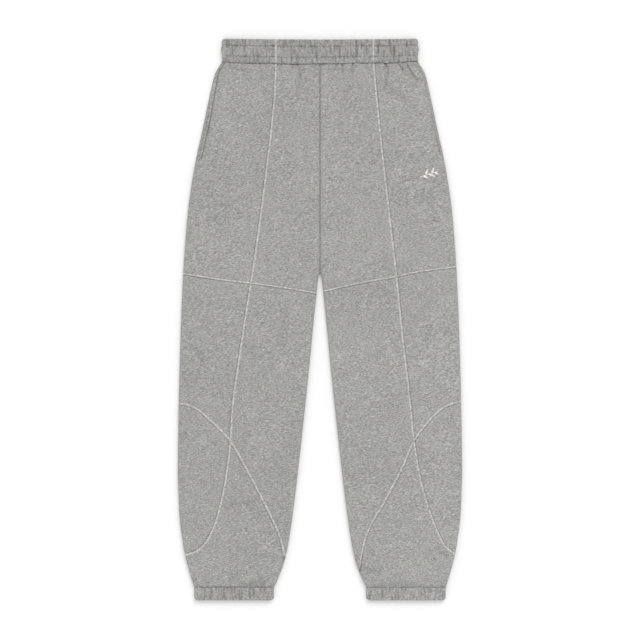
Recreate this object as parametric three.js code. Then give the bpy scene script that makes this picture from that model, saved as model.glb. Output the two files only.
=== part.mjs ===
// Fleece jogger sweatpants laid flat, front up, in millimetres.
// +X is the wearer's left, +Y is towards the waist and +Z is up from the surface.
// Panels are drawn in a leg's own plan: across from the centre line, down from the waist.
import * as THREE from 'three';

// Driving sizes
const garmentLength = 1020;
const clothThick = 2.8;
const bodyHeight = 8.4;
const bandRise = 0.6;
const bandRiseReach = 16;
const sideFoldReach = 5;
const seamGap = 0.3;
const crotchDown = 422.7;
const cuffSeamDown = 996.4;

// Waistband
const bandHeight = 10.4;
const bandThick = 4;
const bandFoldReach = 6;
const bandTopDip = 1.5;
const bandSideDepth = 41.8;
const bandMiddleDip = 3.7;
const bandPuckers = 28;
const bandPuckerDepth = 0.8;
const bandPuckerUneven = { middle: 0.7, swing: 0.3, turn: 5.1 };
const bandPuckerDrift = [
  { share: 0.006, turn: 19, start: 0 },
  { share: 0.004, turn: 47, start: 1 },
];
const bandCalmFrom = 4;
const bandCalmReach = 6;
const bandInnerNarrow = 1;
const bandUnderSteps = 10;

// Cuffs
const cuffHeight = 9.6;
const cuffThick = 3.4;
const cuffFoldReach = 5.5;
const cuffStops = 18;
const cuffInnerNarrow = 4;
const cuffUnderSteps = 6;
const cuffCreaseReach = 1.6;
const cuffCreaseClear = 0.04;

// Pocket facing and raised seams
const pocketEndShare = 0.8;
const facingThick = 1.8;
const facingSink = 1.2;
const facingClear = 0.8;
const ridgeWide = 3.2;
const ridgeTopWide = 1.8;
const ridgeThick = 1;
const ridgeClear = 0.3;
const ridgeStep = 26;
const ridgeTopClear = 1;
const hipCrossClear = 2.4;
const kneeCrossClear = 8;
const kneeEndClear = 16;

// Half of the garment's width at the side, by distance down
const sideRows = [
  { down: 41.8, half: 178.2 },
  { down: 45.5, half: 180 },
  { down: 56.4, half: 187.3 },
  { down: 69.1, half: 192.4 },
  { down: 110.9, half: 202 },
  { down: 165.5, half: 213.5 },
  { down: 220, half: 225.5 },
  { down: 274.5, half: 234.9 },
  { down: 329.1, half: 241.5 },
  { down: 438.2, half: 249.1 },
  { down: 601.8, half: 255.1 },
  { down: 774.5, half: 258.2 },
  { down: 820, half: 257.3 },
  { down: 874.5, half: 254.5 },
  { down: 929.1, half: 246.9 },
  { down: 956.4, half: 240.5 },
  { down: 983.6, half: 232.7 },
  { down: 996.4, half: 228.4 },
];

// Half of the gap between the legs, by distance down
const inseamRows = [
  { down: 422.7, half: 0.15 },
  { down: 438.2, half: 3.5 },
  { down: 465.5, half: 6.4 },
  { down: 520, half: 12.2 },
  { down: 601.8, half: 20 },
  { down: 765.5, half: 37.6 },
  { down: 874.5, half: 50.9 },
  { down: 929.1, half: 60 },
  { down: 956.4, half: 66.9 },
  { down: 983.6, half: 77.5 },
  { down: 996.4, half: 83.6 },
];

// How the waistband's outside steps in from its flat top and sides, down its depth
const bandProfile = [
  { along: 0, inset: 1.6, pucker: 0.2 },
  { along: 0.05, inset: 0.4, pucker: 0.7 },
  { along: 0.15, inset: 0.1, pucker: 1 },
  { along: 0.27, inset: 0.9, pucker: 0.5 },
  { along: 0.46, inset: -0.3, pucker: 1 },
  { along: 0.7, inset: 0.9, pucker: 0.5 },
  { along: 0.86, inset: 0.2, pucker: 1 },
  { along: 1, inset: 1, pucker: 0.6 },
];
const bandBulge = { along: 0.47, half: 1.8, reach: 0.1 };
const bandTopNarrow = 1.8;
const bandTopReach = 0.1;

// How a cuff's outside steps in, down its depth; corner narrows it at both sides
const cuffProfile = [
  { along: 0, inset: 0.9, corner: 0 },
  { along: 0.2, inset: 0.1, corner: 0 },
  { along: 0.78, inset: 0, corner: 0.3 },
  { along: 0.94, inset: 0.4, corner: 1.5 },
  { along: 1, inset: 1.5, corner: 4 },
];

// Creases at each cuff, as a place across the leg
const cuffCreases = [
  { across: 196.7, deep: 0.9, wide: 2.6 },
  { across: 146.7, deep: 0.7, wide: 2.4 },
  { across: 122.3, deep: 0.8, wide: 2.4 },
];

// Each leg's seams, as rows down the seam; ends on an outline are worked out from it
const legs = [
  {
    side: 'right',
    sign: -1,
    longSeam: [
      { down: 110.9, across: 82.9 },
      { down: 220, across: 94.7 },
      { down: 365.5, across: 113.6 },
      { down: 443.8, across: 125.4, cross: 'hip' },
      { down: 547.3, across: 141.6 },
      { down: 668, across: 158.4 },
      { down: 730.9, across: 162.5, cross: 'knee' },
      { down: 789.1, across: 169.3 },
      { down: 847.3, across: 180.7 },
      { down: 893.5, across: 194.9 },
      { down: 926.5, across: 217.1 },
    ],
    longSeamTop: 79.9,
    longSeamEnd: 938.5,
    kneeSeam: [
      { down: 664.7, across: 241.8 },
      { down: 671.5, across: 225.5 },
      { down: 693.6, across: 198.2 },
      { down: 730.9, across: 162.5, cross: 'knee' },
      { down: 774.5, across: 137.3 },
      { down: 832.7, across: 106.4 },
      { down: 890.9, across: 78.2 },
      { down: 916.4, across: 69.3 },
    ],
    kneeSeamStart: 662.5,
    kneeSeamEnd: 945.5,
    hipSeam: [
      { down: 438.4, across: 172.7 },
      { down: 443.8, across: 125.4, cross: 'hip' },
      { down: 452.4, across: 63.6 },
    ],
    hipSeamStart: 426.7,
    hipSeamEnd: 461.8,
    pocket: { top: 4.5, full: 10 },
  },
  {
    side: 'left',
    sign: 1,
    longSeam: [
      { down: 110.9, across: 102.9 },
      { down: 220, across: 114.3 },
      { down: 329.1, across: 126.7 },
      { down: 431.6, across: 138.6, cross: 'hip' },
      { down: 547.3, across: 150.5 },
      { down: 668, across: 164.2 },
      { down: 730.9, across: 170.5, cross: 'knee' },
      { down: 789.1, across: 179.8 },
      { down: 847.3, across: 195.1 },
      { down: 893.5, across: 212 },
      { down: 922.2, across: 227.6 },
    ],
    longSeamTop: 96.8,
    longSeamEnd: 936.4,
    kneeSeam: [
      { down: 662.7, across: 240 },
      { down: 671.5, across: 221.8 },
      { down: 697.6, across: 194.5 },
      { down: 730.9, across: 170.5, cross: 'knee' },
      { down: 774.5, across: 151.3 },
      { down: 832.7, across: 121.5 },
      { down: 890.9, across: 88.5 },
      { down: 932, across: 76.2 },
    ],
    kneeSeamStart: 658.7,
    kneeSeamEnd: 968.2,
    hipSeam: [
      { down: 424.2, across: 172.7 },
      { down: 431.6, across: 138.6, cross: 'hip' },
      { down: 445.5, across: 63.6 },
    ],
    hipSeamStart: 414,
    hipSeamEnd: 458.7,
    pocket: { top: 3.2, full: 4.6 },
  },
];

// Gathers that run down from the waistband; x is signed, so each is on one side only
const gatherCreases = [
  { x: 42.7, down: 54.5, toX: 43.6, toDown: 66, deep: 1, wide: 4.5 },
  { x: 60, down: 52, toX: 61, toDown: 60, deep: 1, wide: 4.5 },
  { x: 123.1, down: 52.7, toX: 119.8, toDown: 81.8, deep: 1.3, wide: 4.5 },
  { x: 143.6, down: 47.3, toX: 152.7, toDown: 56, deep: 1, wide: 5 },
  { x: 160, down: 51, toX: 172.7, toDown: 71, deep: 1.2, wide: 5 },
  { x: -35.1, down: 52, toX: -35.6, toDown: 87.3, deep: 0.9, wide: 5 },
  { x: -111.3, down: 50, toX: -112.4, toDown: 60, deep: 1, wide: 4.5 },
];

// Mesh steps
const foldStops = [0, 0.67, 2.5, 5.2];
const sideColumns = 9;
const innerColumns = 12;
const calfColumns = 6;
const calfRun = 330;
const shinColumns = 10;
const backColumns = 12;
const facingColumns = 4;
const foldWidthShare = 0.3;
const ringAngles = [15, 40, 65];
const thighRowCount = 9;
const lowerRowCount = 9;
const ankleRowCount = 3;
const stepsPerSpan = 24;
const samePoint = 0.001;
const nearlyStraight = 0.05;
const hipRowParts = [
  0, 0.025, 0.06, 0.1, 0.155, 0.23, 0.32, 0.41,
  0.475, 0.52, 0.62, 0.73, 0.84, 0.93, 0.98, 1,
];
const pocketLastRow = 9;
const crotchRowParts = [0.18, 0.5, 1];
const backRows = [0, 0.02, 0.05, 0.1, 0.17, 0.25, 0.34, 0.44, 0.56, 0.68, 0.8, 0.91, 0.98, 1];
const backLegRowCount = 13;

const fleece = { color: '#a3a3a1', roughness: 0.95 };
const bandCloth = { color: '#9b9b9a', roughness: 0.95 };
const facingCloth = { color: '#939392', roughness: 0.95 };
const seamThread = { color: '#c3c3c0', roughness: 0.85 };

const garment = new THREE.Group();

// Small helpers
const mix = (from, to, part) => from + (to - from) * part;
const clamp = (value, low, high) => Math.min(high, Math.max(low, value));
const smooth = (part) => part * part * (3 - 2 * part);

// A smooth curve through a table, read at one distance down
function readTable(rows, down) {
  const last = rows.length - 1;
  let row = 0;
  while (row < last - 1 && down > rows[row + 1].down) row += 1;
  const slopeAt = (index) => {
    const before = rows[Math.max(index - 1, 0)];
    const after = rows[Math.min(index + 1, last)];
    return (after.half - before.half) / (after.down - before.down);
  };
  const span = rows[row + 1].down - rows[row].down;
  const part = clamp((down - rows[row].down) / span, 0, 1);
  const rest = 1 - part;
  return (
    rows[row].half * (1 + 2 * part) * rest * rest +
    rows[row + 1].half * (3 - 2 * part) * part * part +
    slopeAt(row) * span * part * rest * rest -
    slopeAt(row + 1) * span * rest * part * part
  );
}

const sideEdge = (down) => new THREE.Vector2(readTable(sideRows, down), down);
const inseamEdge = (down) => new THREE.Vector2(readTable(inseamRows, down), down);

// The waistband's lower edge dips a little at the middle
function bandSeamDown(across) {
  const part = across / sideRows[0].half;
  return bandSideDepth + bandMiddleDip * (1 - part * part);
}

// Points along a smooth seam; a table row k lies at step k times stepsPerSpan
function seamPath(points) {
  const curve = new THREE.CatmullRomCurve3(
    points.map((point) => new THREE.Vector3(point.x, point.y, 0)),
    false,
    'centripetal',
  );
  return curve
    .getPoints(stepsPerSpan * (points.length - 1))
    .map((point) => new THREE.Vector2(point.x, point.y));
}

// Points of a path at given parts of its length
function pointsAlong(path, parts) {
  const lengths = [0];
  for (let step = 1; step < path.length; step += 1) {
    lengths.push(lengths[step - 1] + path[step].distanceTo(path[step - 1]));
  }
  const whole = lengths[lengths.length - 1];
  return parts.map((part) => {
    const wanted = part * whole;
    let step = 1;
    while (step < path.length - 1 && lengths[step] < wanted) step += 1;
    const within = (wanted - lengths[step - 1]) / (lengths[step] - lengths[step - 1]);
    return path[step - 1].clone().lerp(path[step], clamp(within, 0, 1));
  });
}

const evenParts = (count) => Array.from({ length: count + 1 }, (_, step) => step / count);
const pathLength = (path) =>
  path.slice(1).reduce((sum, point, step) => sum + point.distanceTo(path[step]), 0);

// Parts of a width where columns stand, close together where the cloth folds over
function columnParts(width, count, foldsOutside, foldsInside) {
  const reach = foldStops[foldStops.length - 1];
  const scale = Math.min(1, (foldWidthShare * width) / reach) / Math.max(width, samePoint);
  const outside = foldsOutside ? foldStops.map((stop) => stop * scale) : [0];
  const inside = foldsInside ? foldStops.map((stop) => 1 - stop * scale).reverse() : [1];
  const from = outside[outside.length - 1];
  const to = inside[0];
  const middle = count - outside.length - inside.length + 2;
  for (let step = 1; step < middle; step += 1) outside.push(mix(from, to, step / middle));
  return [...outside, ...inside];
}

// The outline that the cloth folds over, as short straight steps
function edgeSteps(edge, from, to, count) {
  return evenParts(count).map((part) => edge(mix(from, to, part)));
}
const foldLines = [
  edgeSteps(sideEdge, bandSideDepth, cuffSeamDown, 220),
  edgeSteps(inseamEdge, crotchDown, cuffSeamDown, 160),
];

// Distance from a plan point to the nearest folded edge, and the way out to it
function nearestFold(point) {
  const best = { distance: Infinity, out: new THREE.Vector2(1, 0) };
  const along = new THREE.Vector2();
  const near = new THREE.Vector2();
  foldLines.forEach((line, lineIndex) => {
    for (let step = 1; step < line.length; step += 1) {
      along.subVectors(line[step], line[step - 1]);
      const part = clamp(near.subVectors(point, line[step - 1]).dot(along) / along.lengthSq(), 0, 1);
      near.copy(line[step - 1]).addScaledVector(along, part);
      const distance = near.distanceTo(point);
      if (distance < best.distance) {
        best.distance = distance;
        const outward = lineIndex === 0 ? 1 : -1;
        if (distance > seamGap) best.out.subVectors(near, point).normalize();
        else best.out.set(along.y, -along.x).normalize().multiplyScalar(outward);
      }
    }
  });
  if (best.distance < seamGap) best.distance = 0;
  return best;
}

// How far a crease lowers the cloth at a place
function creaseDepth(x, down) {
  let depth = 0;
  for (const crease of gatherCreases) {
    const runX = crease.toX - crease.x;
    const runDown = crease.toDown - crease.down;
    const part = ((x - crease.x) * runX + (down - crease.down) * runDown) / (runX * runX + runDown * runDown);
    const held = clamp(part, 0, 1);
    const away = Math.hypot(x - crease.x - held * runX, down - crease.down - held * runDown);
    depth += crease.deep * Math.exp(-((away / crease.wide) ** 2));
  }
  return depth;
}

// Height of the front's top side, away from its folded edges
function frontTop(x, down) {
  const nearBand = Math.exp(-(down - bandSideDepth) / bandRiseReach);
  return bodyHeight + bandRise * nearBand - creaseDepth(x, down);
}

// A point of the cloth's outside above or below a plan point, with its outward normal
function clothPoint(leg, point, isFront) {
  const fold = nearestFold(point);
  const turned = 1 - Math.min(1, fold.distance / sideFoldReach);
  const risen = Math.sqrt(1 - turned * turned);
  const middle = bodyHeight / 2;
  const x = leg.sign * point.x;
  const lift = (isFront ? frontTop(x, point.y) - middle : middle) - seamGap / 2;
  const height = isFront ? middle + seamGap / 2 + lift * risen : middle - seamGap / 2 - lift * risen;
  const up = isFront ? 1 : -1;
  const normal = new THREE.Vector3(
    leg.sign * fold.out.x * turned * lift,
    -fold.out.y * turned * lift,
    up * risen * sideFoldReach,
  ).normalize();
  return { place: new THREE.Vector3(x, garmentLength / 2 - point.y, height), normal };
}

// A closed solid gathered from triangles; points at one place are one point
class Solid {
  constructor() {
    this.places = [];
    this.faces = [];
    this.known = new Map();
  }

  point(place) {
    const key = [place.x, place.y, place.z].map((value) => value.toFixed(3)).join(' ');
    if (!this.known.has(key)) {
      this.known.set(key, this.places.length / 3);
      this.places.push(place.x, place.y, place.z);
    }
    return this.known.get(key);
  }

  triangle(a, b, c) {
    const corners = [this.point(a), this.point(b), this.point(c)];
    if (new Set(corners).size === 3) this.faces.push(...corners);
  }

  quad(a, b, c, d) {
    this.triangle(a, b, c);
    this.triangle(a, c, d);
  }

  geometry() {
    const places = this.places;
    let volume = 0;
    for (let face = 0; face < this.faces.length; face += 3) {
      const [a, b, c] = [0, 1, 2].map((corner) =>
        new THREE.Vector3().fromArray(places, 3 * this.faces[face + corner]),
      );
      volume += a.dot(b.cross(c));
    }
    if (volume < 0) this.faces.reverse();
    const geometry = new THREE.BufferGeometry();
    geometry.setAttribute('position', new THREE.Float32BufferAttribute(places, 3));
    geometry.setIndex(this.faces);
    geometry.computeVertexNormals();
    return geometry;
  }
}

function addPiece(name, solid, finish) {
  const material = new THREE.MeshStandardMaterial({ ...finish, metalness: 0 });
  const mesh = new THREE.Mesh(solid.geometry(), material);
  mesh.name = name;
  garment.add(mesh);
}

// Plan points of a panel between its outer and inner edges; a missing end is a tip
function panelGrid(panel) {
  const { outer, inner, columns, foldsOutside, foldsInside } = panel;
  const rows = outer.length - 1;
  const top = panel.top ?? Array(columns + 1).fill(outer[0]);
  const bottom = panel.bottom ?? Array(columns + 1).fill(outer[rows]);
  return outer.map((outerPoint, row) => {
    const part = row / rows;
    const width = outerPoint.distanceTo(inner[row]);
    return columnParts(width, columns, foldsOutside, foldsInside).map((across, column) => {
      const point = outerPoint.clone().lerp(inner[row], across);
      const topShift = top[column].clone().sub(top[0].clone().lerp(top[columns], across));
      const bottomShift = bottom[column].clone().sub(bottom[0].clone().lerp(bottom[columns], across));
      if (row === 0) return top[column].clone();
      if (row === rows) return bottom[column].clone();
      return point.addScaledVector(topShift, 1 - part).addScaledVector(bottomShift, part);
    });
  });
}

// The edge of a grid, once round, with how far each stretch steps back from its seam
function gridEdge(grid, panel) {
  const rows = grid.length - 1;
  const columns = grid[0].length - 1;
  const half = panel.back ?? seamGap / 2;
  const stepOf = (folded, row) => (folded(row) ? 0 : half);
  const loop = [];
  for (let column = 0; column < columns; column += 1) loop.push({ row: 0, column, back: half });
  for (let row = 0; row < rows; row += 1) {
    loop.push({ row, column: columns, back: stepOf(panel.innerFolded, row) });
  }
  for (let column = columns; column > 0; column -= 1) loop.push({ row: rows, column, back: half });
  for (let row = rows; row > 0; row -= 1) {
    loop.push({ row, column: 0, back: stepOf(panel.outerFolded, row - 1) });
  }
  return loop;
}

// Steps a panel's edge back by half a seam gap where it meets a neighbour
function stepBack(grid, panel) {
  const stops = gridEdge(grid, panel).filter((stop, index, all) => {
    const next = all[(index + 1) % all.length];
    return grid[stop.row][stop.column].distanceTo(grid[next.row][next.column]) > samePoint;
  });
  const places = stops.map((stop) => grid[stop.row][stop.column].clone());
  let turning = 0;
  places.forEach((place, index) => {
    turning += place.cross(places[(index + 1) % places.length]);
  });
  const inward = Math.sign(turning);
  const moves = places.map((place, index) => {
    const last = (index + places.length - 1) % places.length;
    const sides = [
      { from: places[last], to: place, back: stops[last].back },
      { from: place, to: places[(index + 1) % places.length], back: stops[index].back },
    ].map(({ from, to, back }) => {
      const run = to.clone().sub(from).normalize();
      return { x: -run.y * inward, y: run.x * inward, back };
    });
    const [one, two] = sides;
    const turn = one.x * two.y - one.y * two.x;
    const together = (one.back + two.back) / 2;
    if (Math.abs(turn) < nearlyStraight) {
      return new THREE.Vector2(one.x + two.x, one.y + two.y).multiplyScalar(together / 2);
    }
    return new THREE.Vector2(
      (one.back * two.y - two.back * one.y) / turn,
      (two.back * one.x - one.back * two.x) / turn,
    );
  });
  for (const point of grid.flat()) {
    const index = places.findIndex((place) => place.distanceTo(point) < samePoint);
    if (index >= 0) point.add(moves[index]);
  }
}

// A wall of cloth over a grid of plan points, closed along its edge
function addPanel(name, leg, panel, finish) {
  const grid = panelGrid(panel);
  stepBack(grid, panel);
  const isFront = !panel.isBack;
  const sink = panel.sink ?? 0;
  const thick = panel.thick ?? clothThick;
  const walls = grid.map((row) =>
    row.map((point) => {
      const { place, normal } = clothPoint(leg, point, isFront);
      return {
        outside: place.clone().addScaledVector(normal, -sink),
        inside: place.clone().addScaledVector(normal, -sink - thick),
      };
    }),
  );
  const solid = new Solid();
  const rows = walls.length - 1;
  const columns = walls[0].length - 1;
  for (let row = 0; row < rows; row += 1) {
    for (let column = 0; column < columns; column += 1) {
      const corners = [
        walls[row][column],
        walls[row][column + 1],
        walls[row + 1][column + 1],
        walls[row + 1][column],
      ];
      solid.quad(...corners.map((corner) => corner.outside));
      solid.quad(...corners.map((corner) => corner.inside).reverse());
    }
  }
  const rim = gridEdge(grid, panel).map((stop) => walls[stop.row][stop.column]);
  // Walls that meet at a seam are split the same way, whichever panel they belong to
  const order = (stop) => stop.outside.y + 0.37 * stop.outside.x;
  rim.forEach((here, index) => {
    const next = rim[(index + 1) % rim.length];
    if (order(here) > order(next)) solid.quad(next.outside, here.outside, here.inside, next.inside);
    else solid.quad(here.outside, here.inside, next.inside, next.outside);
  });
  addPiece(name, solid, finish);
}

// A raised seam: a low ridge that follows a seam's points just above the cloth
function addRidge(name, sections) {
  const solid = new Solid();
  for (let step = 1; step < sections.length; step += 1) {
    for (let corner = 0; corner < 4; corner += 1) {
      const next = (corner + 1) % 4;
      const [before, here] = [sections[step - 1], sections[step]];
      solid.quad(before[corner], before[next], here[next], here[corner]);
    }
  }
  const [first, last] = [sections[0], sections[sections.length - 1]];
  solid.quad(first[3], first[2], first[1], first[0]);
  solid.quad(last[0], last[1], last[2], last[3]);
  addPiece(name, solid, seamThread);
}

const ridgeCorners = [
  { aside: -ridgeWide / 2, up: 0 },
  { aside: -ridgeTopWide / 2, up: ridgeThick },
  { aside: ridgeTopWide / 2, up: ridgeThick },
  { aside: ridgeWide / 2, up: 0 },
];

function addSeamRidge(name, leg, path, clearStart, clearEnd) {
  const whole = pathLength(path);
  const count = Math.max(4, Math.round(whole / ridgeStep));
  const parts = [clearStart / whole, ...evenParts(count).slice(1, -1), 1 - clearEnd / whole];
  for (const reach of [foldStops[2], foldStops[3]]) {
    if (clearStart < foldStops[2]) parts.push(reach / whole);
    if (clearEnd < foldStops[2]) parts.push(1 - reach / whole);
  }
  const kept = parts.filter((part) => part >= clearStart / whole && part <= 1 - clearEnd / whole);
  const points = pointsAlong(path, kept.sort((a, b) => a - b));
  const sections = points.map((point, step) => {
    const before = points[Math.max(step - 1, 0)];
    const after = points[Math.min(step + 1, points.length - 1)];
    const run = after.clone().sub(before).normalize();
    return ridgeCorners.map(({ aside, up }) => {
      const plan = new THREE.Vector2(point.x - run.y * aside, point.y + run.x * aside);
      const { place, normal } = clothPoint(leg, plan, true);
      return place.addScaledVector(normal, ridgeClear + up);
    });
  });
  addRidge(name, sections);
}

// The seams of one leg as paths, cut where they cross
function legSeams(leg) {
  const points = (rows) => rows.map((row) => new THREE.Vector2(row.across, row.down));
  const crossStep = (rows, cross) => stepsPerSpan * (rows.findIndex((row) => row.cross === cross) + 1);
  const top = new THREE.Vector2(leg.longSeamTop, bandSeamDown(leg.longSeamTop));
  const long = seamPath([top, ...points(leg.longSeam), sideEdge(leg.longSeamEnd)]);
  const knee = seamPath([
    sideEdge(leg.kneeSeamStart),
    ...points(leg.kneeSeam),
    inseamEdge(leg.kneeSeamEnd),
  ]);
  const hip = seamPath([sideEdge(leg.hipSeamStart), ...points(leg.hipSeam), inseamEdge(leg.hipSeamEnd)]);
  const hipStep = crossStep(leg.longSeam, 'hip');
  const kneeStep = crossStep(leg.longSeam, 'knee');
  const kneeCut = crossStep(leg.kneeSeam, 'knee');
  const hipCut = crossStep(leg.hipSeam, 'hip');
  return {
    long,
    longHip: long.slice(0, hipStep + 1),
    longThigh: long.slice(hipStep, kneeStep + 1),
    longCalf: long.slice(kneeStep),
    kneeOuter: knee.slice(0, kneeCut + 1),
    kneeInner: knee.slice(kneeCut),
    hipOuter: hip.slice(0, hipCut + 1),
    hipInner: hip.slice(hipCut),
  };
}

// Rows from the waistband to the hip seam, with one at the crotch
function hipParts(leg) {
  const start = bandSeamDown(0);
  const crotch = (crotchDown - start) / (leg.hipSeamEnd - start);
  return [
    ...hipRowParts.map((part) => part * crotch),
    ...crotchRowParts.map((part) => mix(crotch, 1, part)),
  ];
}

// How far in from the side the pocket's opening lies at a row
function pocketInset(leg, row) {
  if (row >= pocketLastRow) return 0;
  if (row === pocketLastRow - 1) return leg.pocket.full * pocketEndShare;
  return mix(leg.pocket.top, leg.pocket.full, smooth(clamp(row / (pocketLastRow - 2), 0, 1)));
}

const never = () => false;
const always = () => true;

for (const leg of legs) {
  const seams = legSeams(leg);
  const parts = hipParts(leg);
  const sideColumn = (path) =>
    pointsAlong(path, columnParts(pathLength(path), sideColumns, true, false));
  const innerColumn = (path) =>
    pointsAlong(path, columnParts(pathLength(path), innerColumns, false, true));
  const downEdge = (edge, from, to, rowParts) => rowParts.map((part) => edge(mix(from, to, part)));
  const bandEdge = (outerAcross, innerAcross, rowParts) =>
    rowParts.map((part) => {
      const across = mix(outerAcross, innerAcross, part);
      return new THREE.Vector2(across, bandSeamDown(across));
    });

  // Hip panels, either side of the long seam
  const side = downEdge(sideEdge, bandSideDepth, leg.hipSeamStart, parts);
  const opening = side.map((point, row) => new THREE.Vector2(point.x - pocketInset(leg, row), point.y));
  opening[0].y = bandSeamDown(opening[0].x);
  const longHip = pointsAlong(seams.longHip, parts);
  const hipWidth = opening[0].x - leg.longSeamTop;
  const hipOuter = sideColumn(seams.hipOuter);
  addPanel(`${leg.side}_front_hip_side`, leg, {
    outer: opening,
    inner: longHip,
    top: bandEdge(opening[0].x, leg.longSeamTop, columnParts(hipWidth, sideColumns, true, false)),
    bottom: hipOuter,
    columns: sideColumns,
    foldsOutside: true,
    outerFolded: (row) => row >= pocketLastRow,
    innerFolded: never,
  }, fleece);

  const middle = downEdge((down) => {
    return down > crotchDown ? inseamEdge(down) : new THREE.Vector2(0, down);
  }, bandSeamDown(0), leg.hipSeamEnd, parts);
  const crotchRow = hipRowParts.length - 1;
  const hipInner = innerColumn(seams.hipInner);
  addPanel(`${leg.side}_front_hip_inner`, leg, {
    outer: longHip,
    inner: middle,
    top: bandEdge(leg.longSeamTop, 0, columnParts(leg.longSeamTop, innerColumns, false, true)),
    bottom: hipInner,
    columns: innerColumns,
    foldsInside: true,
    outerFolded: never,
    innerFolded: (row) => row >= crotchRow,
  }, fleece);

  // Pocket facing, between the opening and the side
  const facingRows = pocketLastRow + 1;
  const facingEdge = opening.slice(0, facingRows);
  addPanel(`${leg.side}_pocket_facing`, leg, {
    outer: side.slice(0, facingRows),
    inner: facingEdge,
    top: pointsAlong([side[0], facingEdge[0]], columnParts(leg.pocket.top, facingColumns, true, false)),
    columns: facingColumns,
    foldsOutside: true,
    outerFolded: always,
    innerFolded: never,
    back: facingClear,
    sink: facingSink,
    thick: facingThick,
  }, facingCloth);

  // Thigh panels
  const thighParts = evenParts(thighRowCount);
  const longThigh = pointsAlong(seams.longThigh, thighParts);
  const kneeOuter = sideColumn(seams.kneeOuter);
  addPanel(`${leg.side}_front_thigh_side`, leg, {
    outer: downEdge(sideEdge, leg.hipSeamStart, leg.kneeSeamStart, thighParts),
    inner: longThigh,
    top: hipOuter,
    bottom: kneeOuter,
    columns: sideColumns,
    foldsOutside: true,
    outerFolded: always,
    innerFolded: never,
  }, fleece);

  const lowerParts = evenParts(lowerRowCount);
  const kneeInner = pointsAlong(seams.kneeInner, lowerParts);
  const kneeCrossDown = longThigh[thighRowCount].y;
  addPanel(`${leg.side}_front_thigh_inner`, leg, {
    outer: [...longThigh, ...kneeInner.slice(1)],
    inner: [
      ...downEdge(inseamEdge, leg.hipSeamEnd, kneeCrossDown, thighParts),
      ...downEdge(inseamEdge, kneeCrossDown, leg.kneeSeamEnd, lowerParts).slice(1),
    ],
    top: hipInner,
    columns: innerColumns,
    foldsInside: true,
    outerFolded: never,
    innerFolded: always,
  }, fleece);

  // Calf panel at the side, a long D with a tip at each end
  const longCalf = pointsAlong(seams.longCalf, lowerParts);
  const calfInner = [...kneeOuter, ...longCalf.slice(1)];
  const calfSide = calfInner.map((_, row) => {
    const onKnee = kneeOuter[Math.min(row, sideColumns)].distanceTo(kneeOuter[0]) / calfRun;
    const below = Math.max(0, (row - sideColumns) / lowerRowCount);
    return sideEdge(mix(leg.kneeSeamStart, leg.longSeamEnd, mix(onKnee, 1, below)));
  });
  addPanel(`${leg.side}_front_calf_side`, leg, {
    outer: calfSide,
    inner: calfInner,
    columns: calfColumns,
    foldsOutside: true,
    outerFolded: always,
    innerFolded: never,
  }, fleece);

  // Shin panel, from the crossing down to the cuff
  const ankleParts = evenParts(ankleRowCount);
  const ankleSide = downEdge(sideEdge, leg.longSeamEnd, cuffSeamDown, ankleParts);
  const ankleInseam = downEdge(inseamEdge, leg.kneeSeamEnd, cuffSeamDown, ankleParts);
  const cuffLine = [ankleSide[ankleRowCount], ankleInseam[ankleRowCount]];
  addPanel(`${leg.side}_front_shin`, leg, {
    outer: [...longCalf, ...ankleSide.slice(1)],
    inner: [...kneeInner, ...ankleInseam.slice(1)],
    bottom: pointsAlong(cuffLine, columnParts(pathLength(cuffLine), shinColumns, true, true)),
    columns: shinColumns,
    foldsOutside: true,
    foldsInside: true,
    outerFolded: (row) => row >= lowerRowCount,
    innerFolded: (row) => row >= lowerRowCount,
  }, fleece);

  // Back of the leg, in one piece
  const backStart = bandSeamDown(0);
  const seat = backRows.map((part) => mix(backStart, crotchDown, part));
  const legParts = evenParts(backLegRowCount).slice(1);
  const backDown = [...seat, ...legParts.map((part) => mix(crotchDown, cuffSeamDown, part))];
  const backTopWidth = sideRows[0].half;
  addPanel(`${leg.side}_back_leg`, leg, {
    outer: backDown.map((down, row) => sideEdge(row === 0 ? bandSideDepth : down)),
    inner: backDown.map((down) => (down > crotchDown ? inseamEdge(down) : new THREE.Vector2(0, down))),
    top: bandEdge(backTopWidth, 0, columnParts(backTopWidth, backColumns, true, true)),
    bottom: pointsAlong(cuffLine, columnParts(pathLength(cuffLine), backColumns, true, true)),
    columns: backColumns,
    foldsOutside: true,
    foldsInside: true,
    outerFolded: always,
    innerFolded: (row) => row >= backRows.length - 1,
    isBack: true,
  }, fleece);

  // Raised seams
  addSeamRidge(`${leg.side}_seam_long`, leg, seams.long, ridgeTopClear, foldStops[1]);
  addSeamRidge(`${leg.side}_seam_hip_outer`, leg, seams.hipOuter, foldStops[1], hipCrossClear);
  addSeamRidge(`${leg.side}_seam_hip_inner`, leg, seams.hipInner, hipCrossClear, foldStops[1]);
  addSeamRidge(`${leg.side}_seam_knee_outer`, leg, seams.kneeOuter, foldStops[1], kneeCrossClear);
  addSeamRidge(`${leg.side}_seam_knee_inner`, leg, seams.kneeInner, kneeCrossClear, kneeEndClear);
}

// One turn round a flattened ring: the puckered front, the sides and the flat underside
function ringTurn(frontParts, backCount) {
  const quarter = ringAngles.map(THREE.MathUtils.degToRad);
  const turn = frontParts.map((part) => ({ across: part, out: 0, up: 1 }));
  const sideOf = (across, angles) =>
    angles.forEach((angle) => turn.push({ across, out: Math.cos(angle), up: Math.sin(angle) }));
  sideOf(1, [...quarter].reverse());
  sideOf(1, [0, ...quarter.map((angle) => -angle)]);
  for (const part of evenParts(backCount)) turn.push({ across: 1 - 2 * part, out: 0, up: -1 });
  sideOf(-1, [...quarter].reverse().map((angle) => -angle));
  sideOf(-1, [0, ...quarter]);
  return turn;
}

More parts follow.
